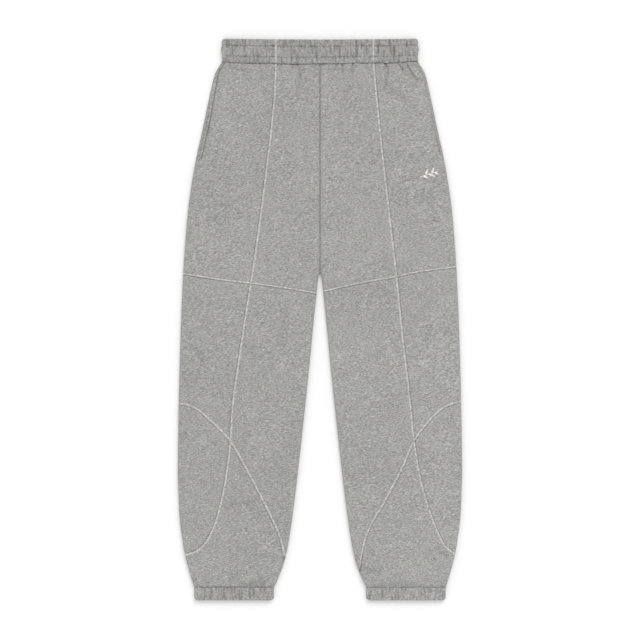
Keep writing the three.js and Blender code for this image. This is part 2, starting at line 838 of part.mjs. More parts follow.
// A ring of cloth from its turn, its profile down and its sizes at each row
function addRing(name, ring, finish) {
  const { turn, profile, height, thick, reach } = ring;
  const place = (stop, row, inset, lift) => {
    const half = row.half - reach;
    const flatX = stop.across * half;
    const side = Math.sign(stop.across) * stop.out;
    const x = flatX + side * Math.max(0, reach - inset);
    const underside = stop.up < 0;
    const rise = height / 2 - (underside ? lift.under : inset + lift.front(flatX));
    const down = row.downAt(x);
    return new THREE.Vector3(ring.centre + x, garmentLength / 2 - down, height / 2 + stop.up * rise);
  };
  const noLift = { under: 0, front: () => 0 };
  const outside = profile.map((row) => {
    const lift = { under: 0, front: (x) => ring.pucker(x, row) };
    return turn.map((stop) => place(stop, row, row.inset, stop.out === 0 ? lift : noLift));
  });
  const ends = [profile[0], profile[profile.length - 1]];
  const inside = ends.map((row) => {
    const plain = { ...row, half: ring.innerHalf ?? row.half };
    return turn.map((stop) => place(stop, plain, thick, { under: thick, front: () => 0 }));
  });
  const solid = new Solid();
  const band = (upper, lower) => {
    upper.forEach((here, index) => {
      const next = (index + 1) % upper.length;
      solid.quad(here, upper[next], lower[next], lower[index]);
    });
  };
  for (let row = 1; row < outside.length; row += 1) band(outside[row - 1], outside[row]);
  band(outside[outside.length - 1], inside[1]);
  band(inside[1], inside[0]);
  band(inside[0], outside[0]);
  addPiece(name, solid, finish);
}

// Waistband: uneven puckers across the front, held flat beside the raised seams
const puckerStops = evenParts(2 * bandPuckers).map((part) => {
  const drift = bandPuckerDrift.reduce((sum, wave) => {
    return sum + wave.share * Math.sin(wave.turn * part + wave.start);
  }, 0);
  return mix(-1, 1, part) + (part === 0 || part === 1 ? 0 : drift);
});
const bandFlatHalf = sideRows[0].half - bandFoldReach;
const bandRidges = legs.map((leg) => leg.sign * leg.longSeamTop);

function bandPucker(x, row) {
  const nearest = puckerStops.reduce((best, stop, index) => {
    const away = Math.abs(stop * bandFlatHalf - x);
    return away < best.away ? { away, index } : best;
  }, { away: Infinity, index: 0 });
  const { middle, swing, turn } = bandPuckerUneven;
  const uneven = middle + swing * Math.sin(turn * nearest.index);
  const fromRidge = Math.min(...bandRidges.map((ridge) => Math.abs(ridge - x)));
  const calm = clamp((fromRidge - bandCalmFrom) / bandCalmReach, 0, 1);
  return nearest.index % 2 === 1 ? bandPuckerDepth * row.pucker * uneven * calm : 0;
}

const bandRows = bandProfile.map((row) => {
  const bulge = bandBulge.half * Math.exp(-(((row.along - bandBulge.along) / bandBulge.reach) ** 2));
  const narrow = row.along < bandTopReach ? bandTopNarrow * (1 - row.along / bandTopReach) : 0;
  const downAt = (x) => {
    const part = 1 - (x / sideRows[0].half) ** 2;
    const seam = bandSeamDown(x) - seamGap / 2;
    return mix(bandTopDip * part, seam, row.along);
  };
  return { ...row, half: sideRows[0].half + bulge - narrow, downAt };
});
addRing('waistband', {
  turn: ringTurn(puckerStops, bandUnderSteps),
  profile: bandRows,
  height: bandHeight,
  thick: bandThick,
  reach: bandFoldReach,
  innerHalf: sideRows[0].half - bandInnerNarrow,
  centre: 0,
  pucker: bandPucker,
}, bandCloth);

for (const leg of legs) {
  const sections = bandRows.slice(1).map((row) => {
    return ridgeCorners.map(({ aside, up }) => {
      const x = leg.sign * leg.longSeamTop + leg.sign * aside;
      const lift = bandHeight - row.inset + ridgeClear + up;
      return new THREE.Vector3(x, garmentLength / 2 - row.downAt(x), lift);
    });
  });
  addRidge(`${leg.side}_seam_waistband`, sections);
}

// Cuffs: plain rings with a few creases
const ankleOuter = sideEdge(cuffSeamDown).x;
const ankleInner = inseamEdge(cuffSeamDown).x;
const cuffHalf = (ankleOuter - ankleInner) / 2;
const cuffCentre = (ankleOuter + ankleInner) / 2;
const cuffFlatHalf = cuffHalf - cuffFoldReach;

for (const leg of legs) {
  const creaseAt = (x) => {
    const across = leg.sign * x + cuffCentre;
    return cuffCreases.reduce((sum, crease) => {
      return sum + crease.deep * Math.exp(-(((across - crease.across) / crease.wide) ** 2));
    }, 0);
  };
  const creaseStops = cuffCreases.flatMap((crease) => {
    const middle = (leg.sign * (crease.across - cuffCentre)) / cuffFlatHalf;
    const aside = (cuffCreaseReach * crease.wide) / cuffFlatHalf;
    return [middle - aside, middle, middle + aside];
  });
  const plainStops = evenParts(cuffStops)
    .map((part) => mix(-1, 1, part))
    .filter((stop) => creaseStops.every((crease) => Math.abs(crease - stop) > cuffCreaseClear));
  const rows = cuffProfile.map((row) => ({
    ...row,
    half: cuffHalf - row.corner,
    downAt: () => mix(cuffSeamDown + seamGap / 2, garmentLength, row.along),
  }));
  addRing(`${leg.side}_cuff`, {
    turn: ringTurn([...plainStops, ...creaseStops].sort((a, b) => a - b), cuffUnderSteps),
    profile: rows,
    height: cuffHeight,
    thick: cuffThick,
    reach: cuffFoldReach,
    innerHalf: cuffHalf - cuffInnerNarrow,
    centre: leg.sign * cuffCentre,
    pucker: creaseAt,
  }, bandCloth);
}

export default garment;
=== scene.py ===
import math
import random

import bmesh
import bpy
import numpy as np
from mathutils import Matrix, Vector, noise


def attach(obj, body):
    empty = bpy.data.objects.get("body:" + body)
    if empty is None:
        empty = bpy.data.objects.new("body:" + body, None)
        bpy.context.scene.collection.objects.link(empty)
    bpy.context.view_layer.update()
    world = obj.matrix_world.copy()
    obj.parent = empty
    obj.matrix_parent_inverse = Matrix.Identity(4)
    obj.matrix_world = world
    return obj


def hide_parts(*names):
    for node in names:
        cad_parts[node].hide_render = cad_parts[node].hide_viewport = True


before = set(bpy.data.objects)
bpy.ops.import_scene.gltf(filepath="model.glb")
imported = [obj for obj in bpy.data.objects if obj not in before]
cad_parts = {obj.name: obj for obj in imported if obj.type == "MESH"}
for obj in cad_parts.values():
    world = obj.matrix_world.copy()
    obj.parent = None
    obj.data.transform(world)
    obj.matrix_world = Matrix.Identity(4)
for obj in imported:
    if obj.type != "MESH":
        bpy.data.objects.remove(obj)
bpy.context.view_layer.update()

# Jogger sweatpants laid flat, front up. Plans are in millimetres, across from the centre
# line and down from the waist; meshes are in metres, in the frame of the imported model.
mm = 0.001
garment = dict(
    length=1020.0, clothThick=2.3, bodyHeight=8.4, bandRise=0.6, bandRiseReach=16.0,
    foldReach=3.8, seamGap=0.3, crotchDown=422.7, cuffSeamDown=996.4,
    bandSideDepth=41.8, bandMiddleDip=3.7, bandTopDip=1.5, facingSink=1.5, facingThick=1.4,
    pocketShare=0.52, kneeFacing=330.0,
)
mesh = dict(
    hipCell=1.9, frontCell=2.6, backCell=4.5, seamCell=7.0, pathStep=24, straightPoints=120,
    foldAngles=(0, 15, 30, 45, 60, 75, 90),
)

# Rows of (down, half): half of the garment's width at the side, and half of the gap between the legs
sideRows = [
    (41.8, 178.2), (45.5, 180.0), (56.4, 187.3), (69.1, 192.4), (110.9, 202.0), (165.5, 213.5),
    (220.0, 225.5), (274.5, 234.9), (329.1, 241.5), (438.2, 249.1), (601.8, 255.1), (774.5, 258.2),
    (820.0, 257.3), (874.5, 254.5), (929.1, 246.9), (956.4, 240.5), (983.6, 232.7), (996.4, 228.4),
]
inseamRows = [
    (422.7, 0.15), (429.0, 2.3), (438.2, 4.0), (465.5, 6.6), (520.0, 12.2), (601.8, 20.0),
    (765.5, 37.6), (874.5, 50.9), (929.1, 60.0), (956.4, 66.9), (983.6, 77.5), (996.4, 83.6),
]
bandHalf = sideRows[0][1]

# Each leg's seams, in rows of (down, across, what it crosses there)
legs = dict(
    right=dict(
        sign=-1,
        longSeam=[(110.9, 82.9, ""), (220, 94.7, ""), (365.5, 113.6, ""), (443.8, 125.4, "hip"),
                  (547.3, 141.6, ""), (668, 158.4, ""), (730.9, 162.5, "knee"), (789.1, 169.3, ""),
                  (847.3, 180.7, ""), (893.5, 194.9, ""), (926.5, 217.1, "")],
        longSeamTop=79.9, longSeamEnd=938.5,
        kneeSeam=[(664.7, 241.8, ""), (671.5, 225.5, ""), (693.6, 198.2, ""), (730.9, 162.5, "knee"),
                  (774.5, 137.3, ""), (832.7, 106.4, ""), (890.9, 78.2, ""), (916.4, 69.3, "")],
        kneeSeamStart=662.5, kneeSeamEnd=945.5, kneeTaper=0.0,
        hipSeam=[(438.4, 172.7, ""), (443.8, 125.4, "hip"), (452.4, 63.6, "")],
        hipSeamStart=426.7, hipSeamEnd=461.8,
        pocket=dict(top=4.5, full=10.0, dark=0.62, isWide=True),
    ),
    left=dict(
        sign=1,
        longSeam=[(110.9, 102.9, ""), (220, 114.3, ""), (329.1, 126.7, ""), (431.6, 138.6, "hip"),
                  (547.3, 150.5, ""), (668, 164.2, ""), (730.9, 170.5, "knee"), (789.1, 179.8, ""),
                  (847.3, 195.1, ""), (893.5, 212.0, ""), (922.2, 227.6, "")],
        longSeamTop=96.8, longSeamEnd=936.4,
        kneeSeam=[(662.7, 240.0, ""), (671.5, 221.8, ""), (697.6, 194.5, ""), (730.9, 170.5, "knee"),
                  (774.5, 151.3, ""), (832.7, 121.5, ""), (890.9, 88.5, ""), (932.0, 76.2, "")],
        kneeSeamStart=658.7, kneeSeamEnd=968.2, kneeTaper=38.0,
        hipSeam=[(424.2, 172.7, ""), (431.6, 138.6, "hip"), (445.5, 63.6, "")],
        hipSeamStart=414.0, hipSeamEnd=458.7,
        pocket=dict(top=3.2, full=4.6, dark=0.08, isWide=False),
    ),
)

# Soft troughs, listed: signed across and down at the start and at the end, depth and width
softFolds = [
    (-44.8, 45.3, -40.8, 48.2, 2.6, 1.3), (-37.4, 55, -35.6, 66, 1.9, 2.4),
    (-36.0, 68, -37.5, 88, 1.1, 4.4), (-29.0, 56, -29.6, 63, 1.6, 1.7),
    (-26.0, 70, -23.0, 88, 0.9, 3.2), (-51.0, 45, -48.5, 51, 1.3, 1.6), (-112, 46, -113, 62, 0.9, 3.0),
    (-122, 68, -130, 74, 0.7, 4.0), (-160, 54, -122, 60, 0.6, 6.0), (40.0, 45, 41.5, 61, 2.4, 2.2),
    (60.0, 43, 58.0, 63, 2.3, 2.2), (30.0, 44, 27.0, 58, 0.9, 2.6), (86.0, 44, 84.5, 54, 1.0, 2.4),
    (117.5, 43, 123.8, 56, 2.6, 1.9), (122.6, 60, 119.5, 86, 1.6, 2.3), (122, 86, 164, 120, 0.9, 8.0),
    (141.6, 44, 150.8, 56.6, 2.4, 1.7), (158.6, 48, 165.6, 61, 2.3, 1.7),
    (167.0, 63.2, 175.6, 74.6, 2.3, 1.7), (177.5, 75.4, 190, 76.2, 1.2, 1.9),
    (52, 96, 70, 150, 0.5, 11.0), (-113, 456, -72, 465, 0.8, 5.0), (-64, 496, -66, 548, 0.8, 9.0),
    (-160, 845, -120, 842, 1.1, 5.5), (-152, 930, -134, 927, 0.9, 5.0),
    (-142, 991, -104, 990, 1.2, 6.0), (76, 962, 106, 969, 1.3, 6.0), (122, 991, 182, 992, 0.8, 4.0),
    (44, 672, 146, 667, 0.5, 5.5), (96, 452, 128, 460, 0.5, 6.0), (214, 925, 232, 944, 0.9, 6.0),
]


# Small helpers on tables and paths
def mixed(low, high, part):
    return low + (high - low) * part


def readTable(rows, down):
    # A smooth curve through the rows of a table
    downs, halves = np.array(rows).T
    last = len(rows) - 1
    before, after = np.maximum(np.arange(last + 1) - 1, 0), np.minimum(np.arange(last + 1) + 1, last)
    slopes = (halves[after] - halves[before]) / (downs[after] - downs[before])
    row = np.clip(np.searchsorted(downs, down) - 1, 0, last - 1)
    span = downs[row + 1] - downs[row]
    part = np.clip((down - downs[row]) / span, 0, 1)
    rest = 1 - part
    return (halves[row] * (1 + 2 * part) * rest**2 + halves[row + 1] * (3 - 2 * part) * part**2
            + slopes[row] * span * part * rest**2 - slopes[row + 1] * span * rest * part**2)


def edgeAt(rows, down):
    down = np.atleast_1d(np.asarray(down, float))
    return np.column_stack((readTable(rows, down), down))


def sideEdge(down):
    return edgeAt(sideRows, down)


def inseamEdge(down):
    return edgeAt(inseamRows, down)


def middleEdge(down):
    edge = inseamEdge(down)
    edge[:, 0] = np.where(edge[:, 1] <= garment["crotchDown"], 0, edge[:, 0])
    return edge


# The seam under the waistband, by signed place across it: how far it wavers down, and how hard it pulls
bandSeam = dict(
    waver=((-178, 0), (-162, 1.1), (-96, 0.7), (-87, -0.4), (-73, 1.1), (-50, 0.9), (-42, 1.5), (-30, 0.7),
           (0, 0), (50, -0.2), (60, -1.0), (80, -0.3), (110, -0.2), (121, 1.0), (142, -0.2), (172, -0.8),
           (178, 0)),
    pull=((-178, 0.25), (-163, 0.3), (-158, 1.0), (-41, 1.1), (-36, 0.3), (54, 0.35), (60, 0.95),
          (178, 0.85)),
)


def bandSeamAt(name, across):
    return np.interp(across, *np.array(bandSeam[name]).T)


def bandSeamDown(across):
    part = np.asarray(across, float) / bandHalf
    return (garment["bandSideDepth"] + garment["bandMiddleDip"] * (1 - part**2)
            + bandSeamAt("waver", across))


def seamPath(points):
    # A centripetal curve through the points, with the same number of steps in each span
    points = [np.array(point, float) for point in points]
    points = [2 * points[0] - points[1], *points, 2 * points[-1] - points[-2]]
    path = [points[1]]
    for p0, p1, p2, p3 in zip(points, points[1:], points[2:], points[3:]):
        d0, d1, d2 = (math.sqrt(np.linalg.norm(b - a)) for a, b in ((p0, p1), (p1, p2), (p2, p3)))
        t1 = ((p1 - p0) / d0 - (p2 - p0) / (d0 + d1) + (p2 - p1) / d1) * d1
        t2 = ((p2 - p1) / d1 - (p3 - p1) / (d1 + d2) + (p3 - p2) / d2) * d1
        for step in range(1, mesh["pathStep"] + 1):
            t = step / mesh["pathStep"]
            path.append(p1 + t1 * t + (3 * (p2 - p1) - 2 * t1 - t2) * t**2
                        + (2 * (p1 - p2) + t1 + t2) * t**3)
    return np.array(path)


def pathLengths(path):
    return np.concatenate(([0], np.cumsum(np.linalg.norm(np.diff(path, axis=0), axis=1))))


def pointsAlong(path, parts):
    lengths = pathLengths(path)
    wanted = np.asarray(parts) * lengths[-1]
    return np.column_stack([np.interp(wanted, lengths, path[:, axis]) for axis in range(2)])


def evenRows(path, count):
    return pointsAlong(path, np.linspace(0, 1, count + 1))


def splitPath(path, share):
    return [pointsAlong(path, np.linspace(*ends, 80)) for ends in ((0, share), (share, 1))]


def straight(edge, start, end, count=mesh["straightPoints"]):
    return edge(np.linspace(start, end, count))


def columnParts(width, count, foldsOutside, foldsInside):
    # Where columns stand across a width, close together where the cloth folds over
    bend = garment["foldReach"] * (1 - np.cos(np.radians(mesh["foldAngles"])))
    scale = min(1, 0.3 * width / bend[-1]) / max(width, 0.001)
    outside = bend * scale if foldsOutside else np.zeros(1)
    inside = 1 - bend[::-1] * scale if foldsInside else np.ones(1)
    middle = count - len(outside) - len(inside) + 2
    between = np.linspace(outside[-1], inside[0], middle + 1)[1:-1]
    return np.concatenate((outside, between, inside))


def nearestOn(line, plan):
    # Distance from each plan point to a line, with the nearest point and the line's own direction
    best = np.full(len(plan), 1e9)
    near = np.zeros_like(plan)
    run = np.zeros_like(plan)
    for start, end in zip(line[:-1], line[1:]):
        along = end - start
        part = np.clip((plan - start) @ along / (along @ along), 0, 1)
        point = start + part[:, None] * along
        away = np.linalg.norm(plan - point, axis=1)
        closer = away < best
        best[closer] = away[closer]
        near[closer] = point[closer]
        run[closer] = along / np.linalg.norm(along)
    return best, near, run


foldLines = [
    (straight(sideEdge, garment["bandSideDepth"], garment["cuffSeamDown"], 241), 1),
    (straight(inseamEdge, garment["crotchDown"], garment["cuffSeamDown"], 171), -1),
]


def nearestFold(plan):
    distance = np.full(len(plan), 1e9)
    outward = np.zeros_like(plan)
    for line, side in foldLines:
        away, near, run = nearestOn(line, plan)
        closer = away < distance
        out = near - plan
        length = np.linalg.norm(out, axis=1)
        onLine = length < 0.1
        square = np.column_stack((run[:, 1], -run[:, 0])) * side
        out = np.where(onLine[:, None], square, out / np.maximum(length, 1e-6)[:, None])
        distance[closer] = away[closer]
        outward[closer] = out[closer]
    distance[distance < 0.08] = 0
    return distance, outward


def legSeams(leg):
    rows = lambda name: [(across, down) for down, across, _ in leg[name]]
    cut = lambda name, cross: mesh["pathStep"] * ([row[2] for row in leg[name]].index(cross) + 1)
    fromSide = lambda name: seamPath([
        sideEdge(leg[name + "Start"])[0], *rows(name), inseamEdge(leg[name + "End"])[0]])
    top = (leg["longSeamTop"], float(bandSeamDown(leg["sign"] * leg["longSeamTop"])))
    long = seamPath([top, *rows("longSeam"), sideEdge(leg["longSeamEnd"])[0]])
    knee, hip = fromSide("kneeSeam"), fromSide("hipSeam")
    hipStep, kneeStep = cut("longSeam", "hip"), cut("longSeam", "knee")
    kneeCut, hipCut = cut("kneeSeam", "knee"), cut("hipSeam", "hip")
    return dict(
        long=long, knee=knee, hip=hip,
        longHip=long[: hipStep + 1], longThigh=long[hipStep: kneeStep + 1], longCalf=long[kneeStep:],
        kneeOuter=knee[: kneeCut + 1], kneeInner=knee[kneeCut:],
        hipOuter=hip[: hipCut + 1], hipInner=hip[hipCut:],
    )


for leg in legs.values():
    leg["seams"] = legSeams(leg)

# The shape of the cloth's top side
relief = dict(
    broadSize=150.0, broad=0.8, fineSize=46.0, fine=0.4,
    seamSink=1.3, seamWide=2.9, seamPillow=0.3, pillowAt=10.0, pillowWide=6.5,
    middleSink=1.8, middleWide=2.6, middleSoft=0.6, middleReach=12.0,
    bandSink=1.0, bandWide=2.0, cuffSink=0.35, cuffWide=1.3, openingSink=0.3, openingWide=2.2,
    foldRise=0.35, foldRiseAt=1.9, backBroad=0.5, backLoft=0.1, backGather=0.7, backMiddle=0.9,
    backMost=1.3,
)
gather = dict(aside=2.5, shrink=(0.5, 1), lean=0.25, wide=(1.8, 3.4), reach=60, spread=40)


def gatherList(seed, spots, length, deep):
    # Short uneven gathers that run from a stitched edge: place, length, depth, lean and width
    draw = random.Random(seed)
    return [(spot + draw.uniform(-gather["aside"], gather["aside"]),
             draw.uniform(*length) * draw.uniform(*gather["shrink"]), draw.uniform(*deep),
             draw.uniform(-gather["lean"], gather["lean"]), draw.uniform(*gather["wide"]))
            for spot in spots]


gathers = dict(
    band=gatherList(11, np.arange(-172, 176, 10.3), (6, 26), (0.2, 0.85)),
    back=gatherList(12, np.arange(-172, 176, 9.3), (10, 42), (0.25, 0.8)),
    cuff=gatherList(13, [*np.arange(-222, -86, 9.5), *np.arange(90, 226, 9.5)], (8, 26), (0.2, 0.8)),
)


def gatherDepth(name, x, run):
    # run is the distance from the stitched edge
    depth = np.zeros_like(x)
    near = run < gather["reach"]
    for place, length, deep, lean, wide in gathers[name]:
        aside = (x[near] - place - lean * run[near]) / (wide * (1 + run[near] / gather["spread"]))
        depth[near] += deep * bell(aside, 1) * bell(run[near], length)
    return depth


def noiseAt(x, down, size, seed):
    return np.array([noise.noise(Vector((u, v, seed))) for u, v in zip(x / size, down / size)])


def bell(away, wide):
    return np.exp(-((away / wide) ** 2))


def foldDepth(x, down):
    depth = np.zeros_like(x)
    place = np.column_stack((x, down))
    for *start, endX, endDown, deep, wide in softFolds:
        start = np.array(start, float)
        along = np.array((endX, endDown)) - start
        part = np.clip((place - start) @ along / (along @ along), 0, 1)
        away = np.linalg.norm(place - start - part[:, None] * along, axis=1) / wide
        rise = relief["foldRise"] * bell(away - relief["foldRiseAt"], 1)  # a faint rise beside it
        depth += deep * (bell(away, 1) - rise)
    return depth


def seamDistances(leg, plan):
    # Distance to each raised seam, positive on its outer or lower side
    distances = {}
    for name in ("long", "knee", "hip"):
        line = evenRows(leg["seams"][name], int(pathLengths(leg["seams"][name])[-1] / mesh["seamCell"]))
        away, near, run = nearestOn(line, plan)
        out = plan - near
        side = run[:, 0] * out[:, 1] - run[:, 1] * out[:, 0]
        distances[name] = np.where(side < 0, away, -away)
    return distances


def seamShape(leg, plan):
    # Grooves along the seams, with the cloth a little fuller beside them
    change = np.zeros(len(plan))
    for signed in seamDistances(leg, plan).values():
        away = np.abs(signed)
        change -= relief["seamSink"] * bell(away, relief["seamWide"])
        change += relief["seamPillow"] * bell(away - relief["pillowAt"], relief["pillowWide"])
    return change


def frontTop(leg, plan):
    x, down = leg["sign"] * plan[:, 0], plan[:, 1]
    fromBand, fromCuff = down - bandSeamDown(x), garment["cuffSeamDown"] - down
    top = garment["bodyHeight"] + garment["bandRise"] * np.exp(-fromBand / garment["bandRiseReach"])
    top += relief["broad"] * noiseAt(x, down, relief["broadSize"], 3.1)
    top += relief["fine"] * noiseAt(x, down, relief["fineSize"], 7.7)
    top += seamShape(leg, plan)
    top -= foldDepth(x, down)
    top -= gatherDepth("band", x, fromBand) + gatherDepth("cuff", x, fromCuff)
    top -= relief["bandSink"] * bandSeamAt("pull", x) * bell(fromBand, relief["bandWide"])
    top -= relief["cuffSink"] * bell(fromCuff, relief["cuffWide"])
    middle = relief["middleSink"] * bell(plan[:, 0], relief["middleWide"])
    middle += relief["middleSoft"] * bell(plan[:, 0], relief["middleReach"])
    return top - np.where(down < garment["crotchDown"], middle, 0)


def backLift(leg, plan):
    # How far the underside keeps off the surface: seams, gathers and a few soft creases
    x, down = leg["sign"] * plan[:, 0], plan[:, 1]
    broad = relief["backBroad"] * noiseAt(x, down, relief["broadSize"], 21.3)
    lift = np.maximum(0, broad + relief["backLoft"])
    lift += gatherDepth("back", x, down - bandSeamDown(x)) * relief["backGather"]
    lift += gatherDepth("cuff", -x, garment["cuffSeamDown"] - down) * relief["backGather"]
    middle = relief["backMiddle"] * bell(plan[:, 0], relief["middleWide"])
    return np.minimum(lift + np.where(down < garment["crotchDown"], middle, 0), relief["backMost"])


# Painted shade: how far the cloth's colour is darkened down in its creases, gathers and seam lines, for
# each millimetre or at its deepest
creaseDark = dict(
    fold=0.17, gather=0.26, middle=0.46, middleFrom=(50.0, 62.0), bandUneven=1.9, bandSpot=6.0,
    bandSeam=0.5, cuffSeam=0.05, seamReach=10.0, edgeWide=1.2, stripWide=0.9,
)


def creaseShadeMarks(leg, plan, isFront):
    # Painted shade for each point: darker down in gathers, folds, the band and cuff seam lines and the
    # centre seam
    x, down = leg["sign"] * plan[:, 0], plan[:, 1]
    fromBand, fromCuff = down - bandSeamDown(x), garment["cuffSeamDown"] - down
    folded = gatherDepth("band" if isFront else "back", x, fromBand)
    folded += gatherDepth("cuff", x if isFront else -x, fromCuff)
    dark = creaseDark["gather"] * folded
    if isFront:
        dark += creaseDark["fold"] * np.maximum(0, foldDepth(x, down))
    near = lambda away: bell(away, creaseDark["edgeWide"])
    uneven = 1 + creaseDark["bandUneven"] * noiseAt(x, down, creaseDark["bandSpot"], 2.2)
    ends = creaseDark["bandSeam"] * bandSeamAt("pull", x) * near(fromBand)
    dark += (ends + creaseDark["cuffSeam"] * near(fromCuff)) * uneven
    start, full = creaseDark["middleFrom"]
    middle = creaseDark["middle"] * np.clip((down - start) / (full - start), 0, 1) * near(plan[:, 0])
    return np.clip(dark + np.where(down < garment["crotchDown"], middle, 0), 0, 1)


def seamMarks(leg, plan):
    # The signed distance to each raised seam, told as 0 to 1 with the seam at a half; the cloth material
    # paints shade in the ditch beside the seam from it
    return {name + "Away": np.clip(0.5 + signed / creaseDark["seamReach"] / 2, 0.01, 0.99)
            for name, signed in seamDistances(leg, plan).items()}


def clothPoints(leg, plan, isFront, sink=0.0):
    distance, outward = nearestFold(plan)
    turned = 1 - np.clip(distance / garment["foldReach"], 0, 1)
    risen = np.sqrt(1 - turned**2)
    middle, half = garment["bodyHeight"] / 2, garment["seamGap"] / 2
    if isFront:
        height = middle + half + (frontTop(leg, plan) - middle - half - sink) * risen
    else:
        height = middle - half - (middle - half - backLift(leg, plan)) * risen
    moved = plan - outward * (turned * sink)[:, None]
    return np.column_stack((leg["sign"] * moved[:, 0], garment["length"] / 2 - moved[:, 1], height)) * mm


# Pieces and meshes
def addObject(name, data):
    made = bpy.data.objects.new(name, data)
    bpy.context.scene.collection.objects.link(made)
    return made


def addMesh(name, bm, materials):
    data = bpy.data.meshes.new(name)
    bm.to_mesh(data)
    bm.free()
    for material in materials:
        data.materials.append(material)
    return addObject(name, data)


def finishPiece(name, bm, materials, node=None):
    piece = addMesh(name, bm, materials)
    for face in piece.data.polygons:
        face.use_smooth = True
    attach(piece, "root")
    if node:
        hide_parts(node)
    return piece


def gridSpot(vert, rows, columns):
    # Which row and column of a new grid a vertex is in
    return round((vert.co.y + 1) / 2 * rows), round((vert.co.x + 1) / 2 * columns)


def gridMesh(points, outwardUp, marks):
    # A grid of cloth from its points by row and column; points that meet are merged
    rows, columns = points.shape[0] - 1, points.shape[1] - 1
    bm = bmesh.new()
    for name in marks:
        bm.verts.layers.float.new(name)
    layers = [(bm.verts.layers.float[name], values.reshape(rows + 1, columns + 1))
              for name, values in marks.items()]
    bmesh.ops.create_grid(bm, x_segments=columns, y_segments=rows, size=1)
    for vert in bm.verts:
        spot = gridSpot(vert, rows, columns)
        vert.co = points[spot]
        for layer, values in layers:
            vert[layer] = values[spot]
    bmesh.ops.remove_doubles(bm, verts=bm.verts, dist=0.00002)
    bmesh.ops.dissolve_degenerate(bm, edges=bm.edges, dist=0.00001)
    bm.normal_update()
    facing = sum(face.normal.z * face.calc_area() for face in bm.faces)
    if (facing > 0) != outwardUp:
        bmesh.ops.reverse_faces(bm, faces=bm.faces)
    return bm


def panelPlan(panel):
    # A panel ends in a straight line, or in a point, where it has no path of its own
    outer, inner, columns, folds = (panel[key] for key in ("outer", "inner", "columns", "folds"))
    rows = len(outer) - 1
    spread = lambda path: pointsAlong(path, columnParts(pathLengths(path)[-1], columns, *folds))
    top, bottom = (spread(panel.get(name, np.array([outer[row], inner[row]])))
                   for name, row in (("top", 0), ("bottom", -1)))
    plan = np.zeros((rows + 1, columns + 1, 2))
    for row in range(rows + 1):
        part = row / rows
        across = columnParts(np.linalg.norm(outer[row] - inner[row]), columns, *folds)[:, None]
        plan[row] = outer[row] * (1 - across) + inner[row] * across
        plan[row] += (top - top[0] * (1 - across) - top[-1] * across) * (1 - part)
        plan[row] += (bottom - bottom[0] * (1 - across) - bottom[-1] * across) * part
    plan[0], plan[-1] = top, bottom
    return plan


def stepBack(plan, panel):
    # Half a seam gap between a panel's edge and the seam it is sewn at, shared along each row
    half = garment["seamGap"] / 2
    for lines, startSeam, endSeam in (
        (plan.transpose(1, 0, 2), np.ones(plan.shape[1]), np.ones(plan.shape[1])),
        (plan, panel["outerSeam"], panel["innerSeam"]),
    ):
        steps = np.linalg.norm(np.diff(lines, axis=1), axis=2)
        whole = steps.sum(axis=1)
        part = np.insert(np.cumsum(steps, axis=1), 0, 0, axis=1) / np.maximum(whole, 1e-6)[:, None]
        across = (lines[:, -1] - lines[:, 0]) / np.maximum(whole, 1e-6)[:, None]
        back = np.minimum(half, 0.2 * whole)[:, None]
        move = back * (startSeam[:, None] * (1 - part) - endSeam[:, None] * part)
        lines += across[:, None] * move[..., None]
    return plan


stitch = dict(
    length=2.4, size=0.6, pitch=3.4, sink=0.1, bandReach=172, pocketInset=2.2, pocketSkip=slice(4, -6),
    stripInset=-5.2, stripStart=116.0, ankleUp=3.0, ankleEnds=6, anklePoints=60,
)


def addPanel(name, leg, panel, material, slot):
    plan = stepBack(panelPlan(panel), panel)
    isFront, isStrip = not panel.get("isBack"), panel.get("isStrip")
    spots = plan.reshape(-1, 2)
    points = clothPoints(leg, spots, isFront, panel.get("sink", 0.0)).reshape(*plan.shape[:2], 3)
    marks = dict(creaseDark=creaseShadeMarks(leg, spots, isFront).reshape(plan.shape[:2]))
    if isFront and not isStrip:
        marks.update(seamMarks(leg, spots))
    if panel.get("hasOpening"):
        along = np.linalg.norm(plan - plan[:, :1], axis=2)
        ends = np.clip((panel["firstRows"] - np.arange(len(plan))) / 6, 0, 1)[:, None]
        points[:, :, 2] -= relief["openingSink"] * bell(along, relief["openingWide"]) * ends * mm
        # Painted shade along the opening's edge, where the hip panel's edge stands over the facing
        marks["creaseDark"] += leg["pocket"]["dark"] * bell(along, creaseDark["edgeWide"]) * ends
    if isStrip:
        fromOpening = np.linalg.norm(plan - plan[:, -1:], axis=2) + stitch["stripInset"]
        # Painted shade along the strip's stitched line
        stitched = (plan[:, :, 1] > stitch["stripStart"]) * leg["pocket"]["dark"]
        marks["creaseDark"] += stitched * bell(fromOpening, creaseDark["stripWide"])
    piece = finishPiece(name + "_cloth", gridMesh(points, isFront, marks), [material], name)
    wall = piece.modifiers.new("wall", "SOLIDIFY")
    wall.thickness = panel.get("thick", garment["clothThick"]) * mm
    wall.offset = -1
    if isStrip:
        across = np.linalg.norm(plan[:, -1] - plan[:, 0], axis=1)


# Panels of a leg. How many rows of an edge are sewn, from the rows in its first stretch:
never, always, atFirst = (lambda first: 0), (lambda first: math.inf), (lambda first: first)


